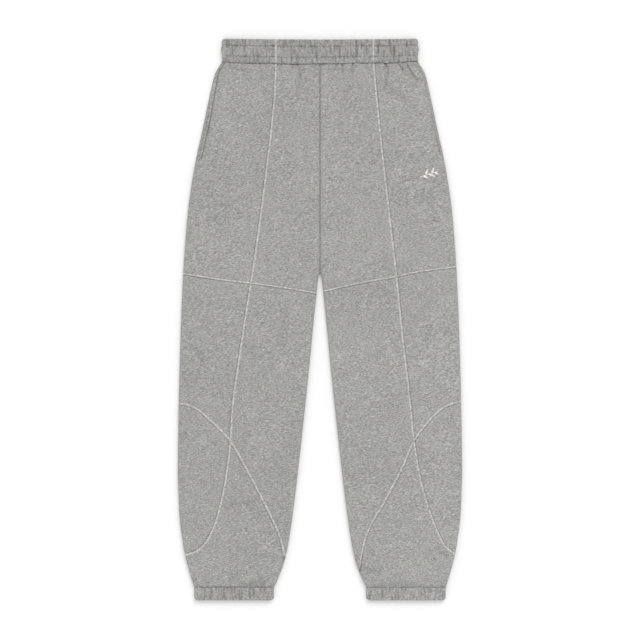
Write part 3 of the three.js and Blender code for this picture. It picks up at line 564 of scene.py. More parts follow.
def panelOf(stretches, cell, width, folds, sewn, **more):
    # Each stretch pairs the panel's outer and inner edge, and its rows end at the same place on both
    outerRows, innerRows, counts = [], [], []
    for outer, inner in stretches:
        longest = max(pathLengths(outer)[-1], pathLengths(inner)[-1])
        count = max(3, math.ceil(longest / cell))
        first = 1 if counts else 0
        outerRows.append(evenRows(outer, count)[first:])
        innerRows.append(evenRows(inner, count)[first:])
        counts.append(count)
    outer, inner = np.concatenate(outerRows), np.concatenate(innerRows)
    outerSeam, innerSeam = ((np.arange(len(outer)) < rows(counts[0])).astype(float) for rows in sewn)
    columns = math.ceil(width / cell) + 2 + (len(mesh["foldAngles"]) - 1) * sum(folds)
    return dict(outer=outer, inner=inner, folds=folds, columns=columns, outerSeam=outerSeam,
                innerSeam=innerSeam, firstRows=counts[0], **more)


def pocketInset(leg, down, start, end):
    part = np.clip((down - start) / (end - start), 0, 1)
    full = leg["pocket"]["full"]
    knots = ((0, leg["pocket"]["top"]), (0.25, mixed(leg["pocket"]["top"], full, 0.62)),
             (0.55, full), (0.93, full), (0.965, full * 0.9), (0.985, full * 0.6), (1, 0))
    return np.interp(part, [at for at, _ in knots], [inset for _, inset in knots])


def bandEdge(leg, outerAcross, innerAcross):
    across = np.linspace(outerAcross, innerAcross, mesh["straightPoints"])
    return np.column_stack((across, bandSeamDown(leg["sign"] * across)))


def pocketEnd(leg):
    crotchPart = (garment["crotchDown"] - bandSeamDown(0)) / (leg["hipSeamEnd"] - bandSeamDown(0))
    return mixed(garment["bandSideDepth"], leg["hipSeamStart"], garment["pocketShare"] * crotchPart)


def openingEdge(leg):
    end = pocketEnd(leg)
    edge = straight(sideEdge, garment["bandSideDepth"], end)
    edge[:, 0] -= pocketInset(leg, edge[:, 1], edge[0, 1], end)
    edge[0, 1] = bandSeamDown(leg["sign"] * edge[0, 0])
    return edge


def hipSidePanel(leg, cell):
    seams, opening, end = leg["seams"], openingEdge(leg), leg["hipSeamStart"]
    share = (opening[-1, 1] - garment["bandSideDepth"]) / (end - garment["bandSideDepth"])
    upper, lower = splitPath(seams["longHip"], share)
    return panelOf([(opening, upper), (straight(sideEdge, opening[-1, 1], end), lower)],
                   cell, 120, (True, False), (atFirst, always), hasOpening=True,
                   top=bandEdge(leg, opening[0, 0], leg["longSeamTop"]), bottom=seams["hipOuter"])


def hipInnerPanel(leg, cell):
    seams, start, crotch, end = leg["seams"], bandSeamDown(0), garment["crotchDown"], leg["hipSeamEnd"]
    upper, lower = splitPath(seams["longHip"], (crotch - start) / (end - start))
    return panelOf([(upper, straight(middleEdge, start, crotch)),
                    (lower, straight(inseamEdge, crotch, end))],
                   cell, 100, (False, True), (always, lambda first: first + 1),
                   top=bandEdge(leg, leg["longSeamTop"], 0), bottom=seams["hipInner"])


def thighSidePanel(leg, cell):
    seams = leg["seams"]
    side = straight(sideEdge, leg["hipSeamStart"], leg["kneeSeamStart"])
    return panelOf([(side, seams["longThigh"])], cell, 112, (True, False), (never, always),
                   top=seams["hipOuter"], bottom=seams["kneeOuter"])


def thighInnerPanel(leg, cell):
    seams = leg["seams"]
    cross = seams["longThigh"][-1, 1]
    return panelOf([(seams["longThigh"], straight(inseamEdge, leg["hipSeamEnd"], cross)),
                    (seams["kneeInner"], straight(inseamEdge, cross, leg["kneeSeamEnd"]))],
                   cell, 120, (False, True), (always, never), top=seams["hipInner"])


def calfPanel(leg, cell):
    seams, start, end = leg["seams"], leg["kneeSeamStart"], leg["longSeamEnd"]
    cross = mixed(start, end, pathLengths(seams["kneeOuter"])[-1] / garment["kneeFacing"])
    return panelOf([(straight(sideEdge, start, cross), seams["kneeOuter"]),
                    (straight(sideEdge, cross, end), seams["longCalf"])],
                   cell, 80, (True, False), (never, always))


def shinPanel(leg, cell):
    seams, end = leg["seams"], garment["cuffSeamDown"]
    return panelOf([(seams["longCalf"], seams["kneeInner"]),
                    (straight(sideEdge, leg["longSeamEnd"], end),
                     straight(inseamEdge, leg["kneeSeamEnd"], end))],
                   cell, 130, (True, True), (atFirst, atFirst))


def facingPanel(leg, cell):
    opening = openingEdge(leg)
    opening[:, 0] += garment["seamGap"] / 2
    side = straight(sideEdge, garment["bandSideDepth"], opening[-1, 1])
    return panelOf([(side, opening)], cell, 10, (True, False), (never, never), bottom=side[-1:],
                   sink=garment["facingSink"], thick=garment["facingThick"], isStrip=True)


def backPanel(leg, cell):
    crotch, end = garment["crotchDown"], garment["cuffSeamDown"]
    sides = [straight(sideEdge, *ends) for ends in ((garment["bandSideDepth"], crotch), (crotch, end))]
    return panelOf([(sides[0], straight(middleEdge, bandSeamDown(0), crotch)),
                    (sides[1], straight(inseamEdge, crotch, end))],
                   cell, 230, (True, True), (never, never), top=bandEdge(leg, bandHalf, 0), isBack=True)


# Shader helpers: arithmetic on a wire adds Math nodes
class Wire:
    def __init__(self, shade, socket):
        self.shade, self.socket = shade, socket

    def maths(self, operation, first, second):
        return self.shade.node("Math", dict(operation=operation), {0: first, 1: second})

    def __add__(self, other):
        return self.maths("ADD", self, other)

    def __mul__(self, other):
        return self.maths("MULTIPLY", self, other)

    __radd__ = __add__
    __rmul__ = __mul__


class Shade:
    def __init__(self, name):
        self.material = bpy.data.materials.new(name)
        self.material.use_nodes = True
        self.tree = self.material.node_tree
        self.tree.nodes.clear()

    def node(self, kind, settings=None, sockets=None, out=0):
        made = self.tree.nodes.new("ShaderNode" + kind)
        for key, value in (settings or {}).items():
            if key == "stops":
                ramp = made.color_ramp
                while len(ramp.elements) < len(value):
                    ramp.elements.new(0.5)
                for element, (at, color) in zip(ramp.elements, value):
                    element.position, element.color = at, color
            else:
                setattr(made, key, value)
        for key, value in (sockets or {}).items():
            if isinstance(value, Wire):
                self.tree.links.new(value.socket, made.inputs[key])
            else:
                made.inputs[key].default_value = value
        return Wire(self, made.outputs[out]) if made.outputs else made

    def speckle(self, place, scale, detail=2.0, rough=0.5, out=0):
        return self.node("TexNoise", sockets={
            "Vector": place, "Scale": scale, "Detail": detail, "Roughness": rough}, out=out)

    def ramp(self, fac, stops):
        return self.node("ValToRGB", dict(stops=stops), {"Fac": fac})

    def blend(self, kind, factor, under, over):
        return self.node("Mix", dict(data_type="RGBA", blend_type=kind), {
            "Factor": factor, 6: under, 7: over}, out=2)

    def finish(self, sockets):
        self.node("OutputMaterial", sockets={"Surface": self.node("BsdfPrincipled", sockets=sockets)})
        return self.material


def grey(value, warmth=0.013):
    linear = ((value + 0.055) / 1.055) ** 2.4
    return (linear * (1 + warmth), linear * (1 + warmth * 0.6), linear * (1 - warmth * 1.7), 1)


heather = dict(
    streaks=((14, 3.4, 780.0), (-8, 3.0, 920.0), (36, 2.2, 1180.0)),  # lean, length and scale
    tones=((0.36, 0.67), (0.45, 0.895), (0.5, 1.0), (0.55, 1.105), (0.64, 1.36)),
    # The crease and ditch ramps are painted shade: colour darkened down in creases and beside raised seams
    broad=((0.3, 0.94), (0.7, 1.0)), crease=((0.0, 1.0), (1.0, 0.4)),
    seamDitchShade=((0.0, 1.0), (0.39, 1.0), (0.44, 0.92), (0.5, 0.75), (0.56, 0.56), (0.61, 0.6), (0.66, 0.9),
           (0.71, 1.0)),
)


def heatherCloth(name, tone, seed):
    # Mixed grey fibres: short pale and dark streaks, a soft knit surface and a brushed sheen
    shade = Shade(name)
    place = shade.node("TexCoord", out="Object")
    streaks = []
    for index, (lean, length, scale) in enumerate(heather["streaks"]):
        turned = shade.node("Mapping", dict(vector_type="TEXTURE"), {
            "Vector": place, "Location": (seed + index, seed * 2, 0.0),
            "Rotation": (0, 0, math.radians(lean)), "Scale": (length, 1, 1)})
        streaks.append(shade.speckle(turned, scale, rough=0.65))
    cloud = shade.speckle(place, 40.0, 3.0)
    fibre = streaks[0] * 0.4 + streaks[1] * 0.33 + streaks[2] * 0.23 + cloud * 0.04
    color = shade.ramp(fibre, [(at, grey(tone * share)) for at, share in heather["tones"]])
    color = shade.blend("SOFT_LIGHT", 0.07, color, shade.speckle(place, 130.0, out="Color"))
    # Broad tone, a little paler towards the wearer's left, then painted shade down in the creases and in
    # the ditch beside a seam
    broad = shade.speckle(place, 6.0, 1.0) + 0.45 * shade.node("SeparateXYZ", sockets={"Vector": place})
    marked = lambda name: shade.node("Attribute", dict(attribute_name=name), out=2)
    for fac, change in (
        (broad, "broad"), (marked("creaseDark"), "crease"),
        *((marked(name), "seamDitchShade") for name in ("longAway", "kneeAway", "hipAway")),
    ):
        stops = [(at, (share, share, share, 1)) for at, share in heather[change]]
        color = shade.blend("MULTIPLY", 1.0, color, shade.ramp(fac, stops))
    knit = shade.node("TexWave", dict(wave_type="BANDS", bands_direction="X"), {
        "Vector": place, "Scale": 320.0, "Distortion": 3.0, "Detail": 1.0, "Detail Scale": 4.0}, out=1)
    fuzz = shade.speckle(place, 1900.0, 3.0)
    height = fuzz * 0.5 + knit * 0.2 + streaks[0] * 0.6 + streaks[1] * 0.5
    bump = shade.node("Bump", sockets={"Height": height, "Strength": 0.6, "Distance": 0.0009})
    return shade.finish({
        "Base Color": color, "Roughness": 0.86 + 0.1 * fuzz, "Normal": bump, "Sheen Weight": 0.12,
        "Sheen Roughness": 0.6, "Specular IOR Level": 0.2})


def threadFinish(name, tone, seed, shine=0.3):
    shade = Shade(name)
    place = shade.node("TexCoord", out="Object")
    strands, uneven = shade.speckle(place, 900.0 + seed), shade.speckle(place, 230.0 + seed)
    stops = [(0.36, grey(tone * 0.8)), (0.5, grey(tone)), (0.64, grey(min(1, tone * 1.12)))]
    bump = shade.node("Bump", sockets={"Height": strands, "Strength": 0.5, "Distance": 0.0004})
    return shade.finish({
        "Base Color": shade.ramp(0.3 * strands + 0.7 * uneven, stops), "Roughness": 0.55 + 0.25 * strands,
        "Normal": bump, "Sheen Weight": 0.1, "Specular IOR Level": shine})


fleece = heatherCloth("fleece", 0.64, 1.3)
bandCloth = heatherCloth("band_cloth", 0.635, 5.1)
cuffCloth = heatherCloth("cuff_jersey", 0.655, 5.1)
facingCloth = heatherCloth("facing_cloth", 0.64, 8.4)
ridgeCloth = threadFinish("seam_ridge", 0.715, 1.0)
paleThread = threadFinish("seam_thread", 0.86, 1.5)
greyThread = threadFinish("stitch_thread", 0.45, 2.0)
paleGreyThread = threadFinish("hem_thread", 0.60, 2.5)
whiteThread = threadFinish("motif_thread", 0.97, 3.0, 0.45)
print("materials made")

panelMakers = dict(
    front_hip_side=hipSidePanel, front_hip_inner=hipInnerPanel, front_thigh_side=thighSidePanel,
    front_thigh_inner=thighInnerPanel, front_calf_side=calfPanel, front_shin=shinPanel,
    pocket_facing=facingPanel, back_leg=backPanel,
)
for legName, leg in legs.items():
    for panelName, makePanel in panelMakers.items():
        part = next((part for part in ("back", "hip") if part in panelName), "front")
        finish = (facingCloth, "facing_cloth") if panelName == "pocket_facing" else (fleece, "fleece")
        addPanel(f"{legName}_{panelName}", leg, makePanel(leg, mesh[part + "Cell"]), *finish)
    print(legName, "panels made")


# Raised seams: a rounded ridge with thread laid across it in a zigzag
ridge = dict(
    wide=4.4, tall=1.4, sides=7, step=2.0, under=1.0, hipSize=0.72, kneeSize=1.0, bandSize=0.74,
    threadSize=0.9, threadSides=5, pitch=4.2, threadReach=1.8, threadLift=0.55, threadBow=0.62, wander=0.22,
    endClear=0.6, hipCrossClear=1.6, kneeCrossClear=2.2, kneeEndClear=6.0, taperTo=0.3,
)


def sweep(bm, centres, aside, up, section):
    # A grid bent round a section and run along a path, then closed at its seam and ends
    rows, columns = len(centres) - 1, len(section)
    known = set(bm.verts)
    bmesh.ops.create_grid(bm, x_segments=columns, y_segments=rows, size=1)
    fresh = [vert for vert in bm.verts if vert not in known]
    for vert in fresh:
        row, column = gridSpot(vert, rows, columns)
        across, rise = section[column % columns]
        vert.co = centres[row] + aside[row] * across + up[row] * rise
    bmesh.ops.remove_doubles(bm, verts=fresh, dist=0.000002)
    bmesh.ops.holes_fill(bm, edges=[edge for edge in bm.edges if edge.is_boundary], sides=0)


def unit(vectors):
    return vectors / np.maximum(np.linalg.norm(vectors, axis=1), 1e-9)[:, None]


def ridgeFrame(line, surface):
    # Points on the cloth along a seam, with the way aside and the way up at each
    run = unit(np.gradient(line, axis=0))
    side = np.column_stack((-run[:, 1], run[:, 0])) * 1.2
    centres = surface(line)
    aside = unit(surface(line + side) - surface(line - side))
    up = unit(np.cross(np.gradient(centres, axis=0), aside))
    return centres, aside, up * np.where(np.sum(up[:, 2]) < 0, -1, 1)


def addRidge(name, line, surface, node, size=1.0, taper=0.0):
    # With a taper the ridge dwindles over its last stretch
    length = pathLengths(line)[-1]
    ends = (ridge["taperTo"], 1) if taper else (1, 1)
    dwindle = lambda count: np.interp(np.linspace(length, 0, count), (0, taper or 1), ends)[:, None]
    bm = bmesh.new()
    centres, aside, up = ridgeFrame(evenRows(line, max(4, round(length / ridge["step"]))), surface)
    fine = dwindle(len(aside))
    half, tall, under = ridge["wide"] / 2 * size * mm, ridge["tall"] * size * mm, ridge["under"] * mm
    angles = np.linspace(0, math.pi, ridge["sides"])
    section = [(half * math.cos(a), tall * math.sin(a)) for a in angles] + [(-half, -under), (half, -under)]
    sweep(bm, centres, aside * fine, up * fine, section)
    clothFaces = len(bm.faces)

    # The thread crosses the ridge at each stitch, with a raised point between two stitches
    draw = random.Random(len(name) * 7 + 3)
    stitches = max(4, 2 * round(length / ridge["pitch"]))
    centres, aside, up = ridgeFrame(evenRows(line, stitches), surface)
    wander = lambda: 1 + ridge["wander"] * draw.uniform(-1, 1)
    reach = np.array([(1 if k % 2 else -1) * ridge["threadReach"] * wander()
                      for k in range(stitches + 1)]) * size * mm
    lift = np.array([ridge["threadLift"] * ridge["tall"] * size + 0.1 * draw.uniform(-1, 1)
                     for _ in range(stitches + 1)]) * mm
    fine = dwindle(stitches + 1)
    woven = np.empty((2 * stitches + 1, 3))
    woven[::2] = centres + (aside * reach[:, None] + up * lift[:, None]) * fine
    woven[1::2] = (woven[:-2:2] + woven[2::2]) / 2 + up[:-1] * ridge["threadBow"] * tall * fine[:-1]
    ahead = unit(np.gradient(woven, axis=0))
    thin = unit(np.cross(ahead, np.repeat(up, 2, axis=0)[: len(woven)]))
    rise = np.cross(thin, ahead)
    radius = ridge["threadSize"] / 2 * mm
    angles = np.linspace(0, 2 * math.pi, ridge["threadSides"] + 1)[:-1]
    section = [(radius * math.cos(a), radius * math.sin(a)) for a in angles]
    fine = dwindle(len(woven))
    sweep(bm, woven, thin * fine, rise * fine, section)
    bmesh.ops.recalc_face_normals(bm, faces=bm.faces)
    for index, face in enumerate(bm.faces):
        face.material_index = 0 if index < clothFaces else 1
    finishPiece(name, bm, [ridgeCloth, paleThread], node)


def clipped(path, clearStart, clearEnd):
    length = pathLengths(path)[-1]
    return pointsAlong(path, np.linspace(clearStart / length, 1 - clearEnd / length, 200))


for legName, leg in legs.items():
    seams, end = leg["seams"], ridge["endClear"]
    surface = lambda line, leg=leg: clothPoints(leg, line, True)
    for seamName, path, clearStart, clearEnd, size, taper in (
        ("long", "long", 0.5, end, 1.0, 0.0),
        ("hip_outer", "hipOuter", end, ridge["hipCrossClear"], ridge["hipSize"], 0.0),
        ("hip_inner", "hipInner", ridge["hipCrossClear"], end, ridge["hipSize"], 0.0),
        ("knee_outer", "kneeOuter", end, ridge["kneeCrossClear"], ridge["kneeSize"], 0.0),
        ("knee_inner", "kneeInner", ridge["kneeCrossClear"], ridge["kneeEndClear"], ridge["kneeSize"],
         leg["kneeTaper"]),
    ):
        name = f"{legName}_seam_{seamName}"
        addRidge(name + "_stitched", clipped(seams[path], clearStart, clearEnd), surface, name, size, taper)
print("raised seams made")


# Waistband and cuffs: rings of doubled cloth over elastic
band = dict(
    height=10.4, thick=4.0, reach=6.0, depth=garment["bandSideDepth"], rows=40, frontCell=0.95,
    backCell=3.0,
    stitchRows=(0.285, 0.735), stitchSink=1.1, stitchWide=0.03, stitchPitch=3.4, rowUneven=1.0,
    rowSpot=13.0, seamSink=1.1, bulge=1.8, bulgeAt=0.47, bulgeReach=0.12, topNarrow=1.8, puff=0.5,
    puffSize=11.0, deepest=4.0, underDeepest=1.2, dark=0.15, ridgeLength=44.0,
    ends=(-176, 170), zones=((-0.05, 0.27), (0.27, 0.70), (0.70, 1.05)),
)
cuff = dict(
    height=9.6, thick=3.4, reach=5.5, rows=18, frontCell=1.1, backCell=3.2,
    depth=garment["length"] - garment["cuffSeamDown"] - garment["seamGap"] / 2,
    corner=4.0, seamSink=0.3, puff=0.2, puffSize=9.0, deepest=3.0, underDeepest=1, dark=0.21,
)

# Tucks in the elastic: place across, start and end as parts of the depth, depth, width and lean
bandTucks = [
    (35.3, 0.30, 0.80, 4.2, 1.2, 0), (66.0, 0.04, 0.74, 4.2, 1.2, 0), (85.0, 0.28, 0.66, 2.2, 1.3, 0),
    (105.6, 0.24, 0.62, 5.0, 1.3, 0), (107.5, 0.02, 0.28, 2.8, 1.3, 0),
    (116.0, 0.44, 0.80, 2.6, 1.4, 0), (134.2, 0.30, 0.92, 3.2, 1.4, 0),
    (143.6, 0.60, 1.10, 2.8, 1.4, 0), (127.0, -0.05, 0.30, 2.4, 1.4, 0),
    (-63.0, 0.05, 0.30, 2.3, 1.7, 0), (-41.0, 0.62, 1.10, 3.0, 1.9, 0),
    (-52.0, 0.28, 0.70, 2.1, 1.7, 0), (-112.7, 0.60, 1.10, 2.7, 1.9, 0),
    (-151.0, -0.1, 0.40, 2.1, 1.9, 0), (-167.0, -0.1, 0.35, 2.3, 2.0, 0),
]
rightCuffTucks = [
    (-198.0, 0.05, 1.1, 2.9, 1.4, 0), (-175.0, 0.3, 1.1, 1.4, 1.3, 0), (-160.0, 0.4, 1.1, 1.9, 1.3, 0),
    (-146.5, -0.1, 0.8, 3.0, 1.2, 0), (-127.5, 0.1, 1.1, 2.7, 1.3, 0), (-121.0, 0.3, 1.1, 3.0, 1.5, 0),
]


def drawTucks(seed, ends, zones, spacing, deep, wide):
    # Smaller tucks between the large ones, uneven in place, length, depth and lean
    draw = random.Random(seed)
    tucks = []
    for start, end in zones:
        x = ends[0]
        while x < ends[1]:
            x += draw.uniform(*spacing)
            half = (end - start) * draw.uniform(0.4, 1.1) / 2
            middle = draw.uniform(start, end)
            tucks.append((x, middle - half, middle + half, draw.uniform(*deep), draw.uniform(*wide),
                          draw.uniform(-4, 4)))
    return tucks


def tuckDepth(tucks, x, along, deepest):
    depth = np.zeros_like(x)
    for place, start, end, deep, wide, lean in tucks:
        aside = (x - place - lean * (along - (start + end) / 2)) / wide
        fade = np.clip((along - start) / 0.1 + 0.5, 0, 1) * np.clip((end - along) / 0.1 + 0.5, 0, 1)
        depth += deep * fade * bell(aside, 1)
    return deepest * np.tanh(depth / deepest)


bandTucks += drawTucks(5, band["ends"], band["zones"], (3.4, 8.5), (0.6, 3.0), (0.9, 1.6))
underTucks = drawTucks(6, band["ends"], band["zones"], (6, 14), (0.3, 1.0), (2.5, 4.0))
bandRidgeX = np.array([leg["sign"] * leg["longSeamTop"] for leg in legs.values()])


def bandPucker(x, along):
    fromRidge = np.min(np.abs(x[:, None] - bandRidgeX[None]), axis=1)
    calm = np.clip((fromRidge - 2.0) / 4, 0.1, 1)
    puff = noiseAt(x, along * 44, band["puffSize"], 5.5) * band["puff"]
    return tuckDepth(bandTucks, x, along, band["deepest"]) * calm - puff * calm


def bandInset(x, along):
    inset = band["seamSink"] * bandSeamAt("pull", x) * bell(along - 1, 0.05)
    for row in band["stitchRows"]:
        dent = 1 + 0.35 * np.cos(2 * math.pi * x / band["stitchPitch"])
        dent = dent * (1 + band["rowUneven"] * noiseAt(x, np.full(len(x), row * 300), band["rowSpot"], 9.1))
        inset = inset + band["stitchSink"] * dent * bell(along - row, band["stitchWide"])
    return inset


def bandDown(x, along):
    part = 1 - (x / bandHalf) ** 2
    return mixed(garment["bandTopDip"] * part, bandSeamDown(x) - garment["seamGap"] / 2, along)


def bandSunk(x, along):
    return np.maximum(0, bandInset(x, along) + bandPucker(x, along))


def bandOnCloth(x, along, lift=0.0):
    # Points on the front of the band
    return np.column_stack((x, garment["length"] / 2 - bandDown(x, along),
                            band["height"] - bandSunk(x, along) + lift)) * mm


def ringTurn(half, frontCell, backCell):
    # Once round a flat ring: across its front, round one end, across its back and round the other
    front, back = (np.linspace(-1, 1, math.ceil(2 * half / cell)) for cell in (frontCell, backCell))
    angles = np.radians([75, 60, 45, 30, 15, 0, -15, -30, -45, -60, -75])
    turn = [(part, 0.0, 1.0) for part in front] + [(1.0, math.cos(a), math.sin(a)) for a in angles]
    turn += [(part, 0.0, -1.0) for part in -back] + [(-1.0, math.cos(a), math.sin(a)) for a in -angles]
    return np.array(turn)


def wallRows(size):
    # Down the outside from its open edge, then up the inside: how far along, and how far in
    radius = size["thick"] / 2
    edge = radius / size["depth"]
    outside = [(along, 0.0) for along in np.linspace(edge, 1, size["rows"])]
    inside = [(along, size["thick"]) for along in np.linspace(1, edge, 5)]
    roll = [(edge * (1 - math.sin(a)), radius + radius * math.cos(a))
            for a in np.radians([30, 60, 90, 120, 150])]
    return outside + inside + roll


def ringMesh(size, centre, half, outsideShape, downAt, narrowAt):
    turn = ringTurn(half, size["frontCell"], size["backCell"])
    across, out, up = np.append(turn, turn[:1], axis=0).T
    sideways = np.sign(across) * out
    rows = wallRows(size)
    points = np.zeros((len(rows) + 1, len(turn) + 1, 3))
    dark = np.zeros(points.shape[:2])
    for row, (along, inset) in enumerate([*rows, rows[0]]):
        flatX = across * (half - size["reach"] + narrowAt(along))
        shape = outsideShape(flatX, np.full(len(flatX), along), up < 0)
        shape = shape * (1 - min(1.0, inset / size["thick"] * 2))  # the inside of the ring is smooth
        # Painted shade down in the tucks, stitch dents and seam sink, in step with how far the cloth sinks
        dark[row] = np.clip(size["dark"] * shape, 0, 1)
        x = flatX + sideways * (size["reach"] - inset - shape * 0.5)
        rise = size["height"] / 2 - inset - shape
        points[row] = np.column_stack((centre + x, garment["length"] / 2 - downAt(x, along),
                                       size["height"] / 2 + up * rise))
    bm = gridMesh(points * mm, True, dict(creaseDark=dark))
    bmesh.ops.recalc_face_normals(bm, faces=bm.faces)
    return bm


def bandShape(x, along, isUnder):
    return np.where(isUnder, tuckDepth(underTucks, x, along, band["underDeepest"]), bandSunk(x, along))


def bandNarrow(along):
    bulge = band["bulge"] * bell(along - band["bulgeAt"], band["bulgeReach"])
    return bulge - band["topNarrow"] * max(0.0, 1 - along / 0.1)


waistband = finishPiece(
    "waistband_gathered", ringMesh(band, 0.0, bandHalf, bandShape, bandDown, bandNarrow), [bandCloth],
    "waistband")
for legName, leg in legs.items():
    # The line is drawn on the band laid out flat, its height at the middle in millimetres
    line = np.column_stack((np.full(60, leg["sign"] * leg["longSeamTop"]),
                            np.linspace(0.02, 0.985, 60) * band["ridgeLength"]))
    surface = lambda rows: bandOnCloth(rows[:, 0], rows[:, 1] / band["ridgeLength"])
    addRidge(f"{legName}_seam_waistband_stitched", line, surface, f"{legName}_seam_waistband",
             ridge["bandSize"])
print("waistband made")

ankleOuter = sideEdge(garment["cuffSeamDown"])[0, 0]
ankleInner = inseamEdge(garment["cuffSeamDown"])[0, 0]
cuffHalf, cuffCentre = (ankleOuter - ankleInner) / 2, (ankleOuter + ankleInner) / 2


def addCuff(legName, leg):
    sign, centre = leg["sign"], leg["sign"] * cuffCentre
    ends = sorted(sign * edge for edge in (ankleOuter, ankleInner))
    tucks = drawTucks(9 + sign, ends, ((-0.1, 0.5), (0.3, 1.1)), (3.4, 9), (0.5, 2.4), (0.9, 1.6))
    tucks += rightCuffTucks if sign < 0 else []
    under = drawTucks(19 + sign, ends, ((0, 1.1),), (8, 16), (0.2, 0.6), (2.5, 4))

    def shape(x, along, isUnder):
        x = x + centre
        puff = noiseAt(x, along * 24, cuff["puffSize"], 2.0 + sign) * cuff["puff"]
        edge = cuff["seamSink"] * bell(1 - along, 0.05)
        top = np.maximum(0, tuckDepth(tucks, x, along, cuff["deepest"]) + edge + cuff["puff"] * 0.5 - puff)
        return np.where(isUnder, tuckDepth(under, x, along, cuff["underDeepest"]), top)

    def downAt(x, along):
        seamEdge = garment["cuffSeamDown"] + garment["seamGap"] / 2
        return np.full(len(x), mixed(garment["length"], seamEdge, along))

    def narrowAt(along):
        return -cuff["corner"] * max(0.0, 1 - along / 0.24) ** 2

    piece = finishPiece(
        f"{legName}_cuff_gathered", ringMesh(cuff, centre, cuffHalf, shape, downAt, narrowAt), [cuffCloth],
        f"{legName}_cuff")


for legName, leg in legs.items():
    addCuff(legName, leg)
print("cuffs made")


# Stitches: small beads of thread, placed in rows
def addBead(bm, centre, direction, *halves):
    turned = Vector(direction).to_track_quat("X", "Z").to_matrix().to_4x4()
    size = Matrix.Diagonal((*halves, 1))
    bmesh.ops.create_uvsphere(bm, u_segments=6, v_segments=4, radius=1,
                              matrix=Matrix.Translation(Vector(centre)) @ turned @ size)


def addStitches(name, rows, material):
    # Each row is a list of points on the cloth, one for each stitch
    bm = bmesh.new()
    halves = [stitch[side] / 2 * mm for side in ("length", "size", "size")]
    for places in rows:
        for place, direction in zip(places, np.gradient(places, axis=0)):
            addBead(bm, place, direction, *halves)
    finishPiece(name, bm, [material])


def stitchRow(leg, line, sink=0.0):
    places = clothPoints(leg, evenRows(line, round(pathLengths(line)[-1] / stitch["pitch"])), True, sink)
    places[:, 2] += stitch["sink"] * mm
    return places


bandX = np.arange(-stitch["bandReach"], stitch["bandReach"] + 0.1, stitch["pitch"])
rows = [bandOnCloth(bandX, np.full(len(bandX), row), stitch["sink"]) for row in band["stitchRows"]]
addStitches("waistband_topstitch", rows, greyThread)

for legName, leg in legs.items():
    opening = openingEdge(leg)[stitch["pocketSkip"]]
    rows = [stitchRow(leg, opening - (stitch["pocketInset"], 0))]
    if leg["pocket"]["isWide"]:
        strip = opening[opening[:, 1] > stitch["stripStart"]] - (stitch["stripInset"], 0)
        rows.append(stitchRow(leg, strip, garment["facingSink"]))
    addStitches(f"{legName}_pocket_topstitch", rows, paleGreyThread)
    ankleX = np.linspace(ankleInner + stitch["ankleEnds"], ankleOuter - stitch["ankleEnds"],
                         stitch["anklePoints"])
    ankle = np.column_stack((ankleX, np.full(len(ankleX), garment["cuffSeamDown"] - stitch["ankleUp"])))
    addStitches(f"{legName}_ankle_topstitch", [stitchRow(leg, ankle)], paleGreyThread)
print("stitches made")


# A small stitched leaf sprig on the wearer's left hip
sprig = dict(
    centre=(197.8, 246.2), lean=math.radians(-24), stem=34.0, stemSize=2.2, stemBow=1.6, stemThreads=44,
    leafLength=12.5, leafWide=5.6, leafLean=math.radians(48), threads=15, rise=0.6,
    leaves=((-11.0, 1, 0.8), (-6.0, -1, 0.95), (0.0, 1, 1.0), (5.5, -1, 0.9), (10.5, 1, 0.72)),
)


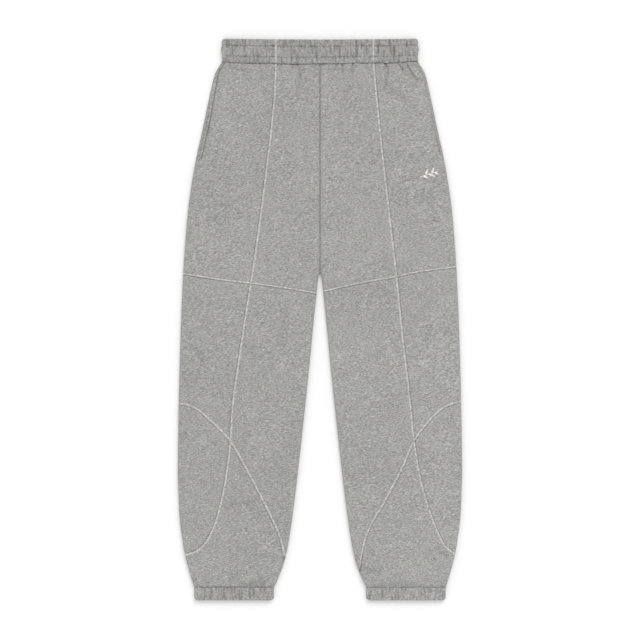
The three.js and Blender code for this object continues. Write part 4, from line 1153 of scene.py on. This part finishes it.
def addSprig():
    bm = bmesh.new()
    cos, sin = math.cos(sprig["lean"]), math.sin(sprig["lean"])
    half = sprig["stem"] / 2
    bow = lambda at: sprig["stemBow"] * math.sin(at / half * 1.5)

    def onCloth(u, v):
        # u runs along the stem and v beside it, both in millimetres
        plan = np.array([[sprig["centre"][0] + u * cos - v * sin, sprig["centre"][1] + u * sin + v * cos]])
        return clothPoints(legs["left"], plan, True)[0]

    def thread(start, end, size):
        # One satin stitch: a thin bead between two points, bowed up in the middle
        first, last = onCloth(*start), onCloth(*end)
        run = Vector(last - first)
        addBead(bm, (first + last) / 2 + np.array((0, 0, sprig["rise"] * mm)), run,
                run.length / 2 + 0.2 * mm, size / 2 * mm, 0.7 * mm)

    for at in np.linspace(-half, half, sprig["stemThreads"]):
        width = sprig["stemSize"] * (1 - 0.35 * abs(at) / half)
        thread((at, bow(at) - width / 2), (at + 0.7, bow(at) + width / 2), 0.75)
    for at, side, size in sprig["leaves"]:
        along = np.array((math.cos(sprig["leafLean"]), side * math.sin(sprig["leafLean"])))
        across = np.array((-along[1], along[0]))
        for part in np.linspace(0.05, 0.97, sprig["threads"]):
            reach = sprig["leafWide"] * size / 2 * math.sin(math.pi * part**0.85) + 0.12
            spot = np.array((at, bow(at))) + along * sprig["leafLength"] * size * part
            thread(spot - across * reach, spot + across * reach, 0.95)
    finishPiece("hip_sprig_stitched", bm, [whiteThread])


addSprig()
print("sprig made")


# Floor, lights and camera
studio = dict(floorTone=0.985, floorHalf=6, floorDown=0.0004, world=0.76, key=0.9, fill=0.3)


def addFloor():
    bm = bmesh.new()
    bmesh.ops.create_grid(bm, x_segments=2, y_segments=2, size=studio["floorHalf"])
    bmesh.ops.translate(bm, verts=bm.verts, vec=(0, 0, -studio["floorDown"]))
    shade = Shade("floor_paper")
    tooth = shade.speckle(shade.node("TexCoord", out="Object"), 40.0)
    stops = [(at, grey(studio["floorTone"] + 0.01 * at, 0)) for at in (0.0, 1.0)]
    paper = shade.finish({
        "Base Color": shade.ramp(tooth, stops), "Roughness": 0.9, "Specular IOR Level": 0.1})
    floor = addMesh("floor", bm, [paper])


def addLight(name, place, spread, power):
    data = bpy.data.lights.new(name, "SUN")
    data.angle = math.radians(spread)
    data.energy = power
    light = addObject(name, data)
    light.location = place
    light.rotation_euler = (-Vector(place)).to_track_quat("-Z", "Y").to_euler()


addFloor()
addLight("key", (0.9, 2.2, 2.5), 34, studio["key"])
addLight("fill", (-1.6, -0.6, 2.4), 60, studio["fill"])
world = bpy.data.worlds.new("studio")
world.use_nodes = True
background = world.node_tree.nodes["Background"]
background.inputs["Color"].default_value = (1, 1, 1, 1)
background.inputs["Strength"].default_value = studio["world"]
bpy.context.scene.world = world
bpy.context.scene.view_settings.view_transform = "Standard"

photo = dict(pixels=640, topRow=39.0, bottomRow=600.0, distance=6.0, sensor=36)
perPixel = garment["length"] * mm / (photo["bottomRow"] - photo["topRow"])
middleRow = (photo["topRow"] + photo["bottomRow"]) / 2
camera = bpy.data.cameras.new("camera")
camera.sensor_width = photo["sensor"]
camera.lens = photo["sensor"] * photo["distance"] / (perPixel * photo["pixels"])
camera.clip_end = 50
viewer = addObject("camera", camera)  # it looks straight down
viewer.location = (0, (middleRow - photo["pixels"] / 2) * perPixel, photo["distance"])
bpy.context.scene.camera = viewer
print("studio made")

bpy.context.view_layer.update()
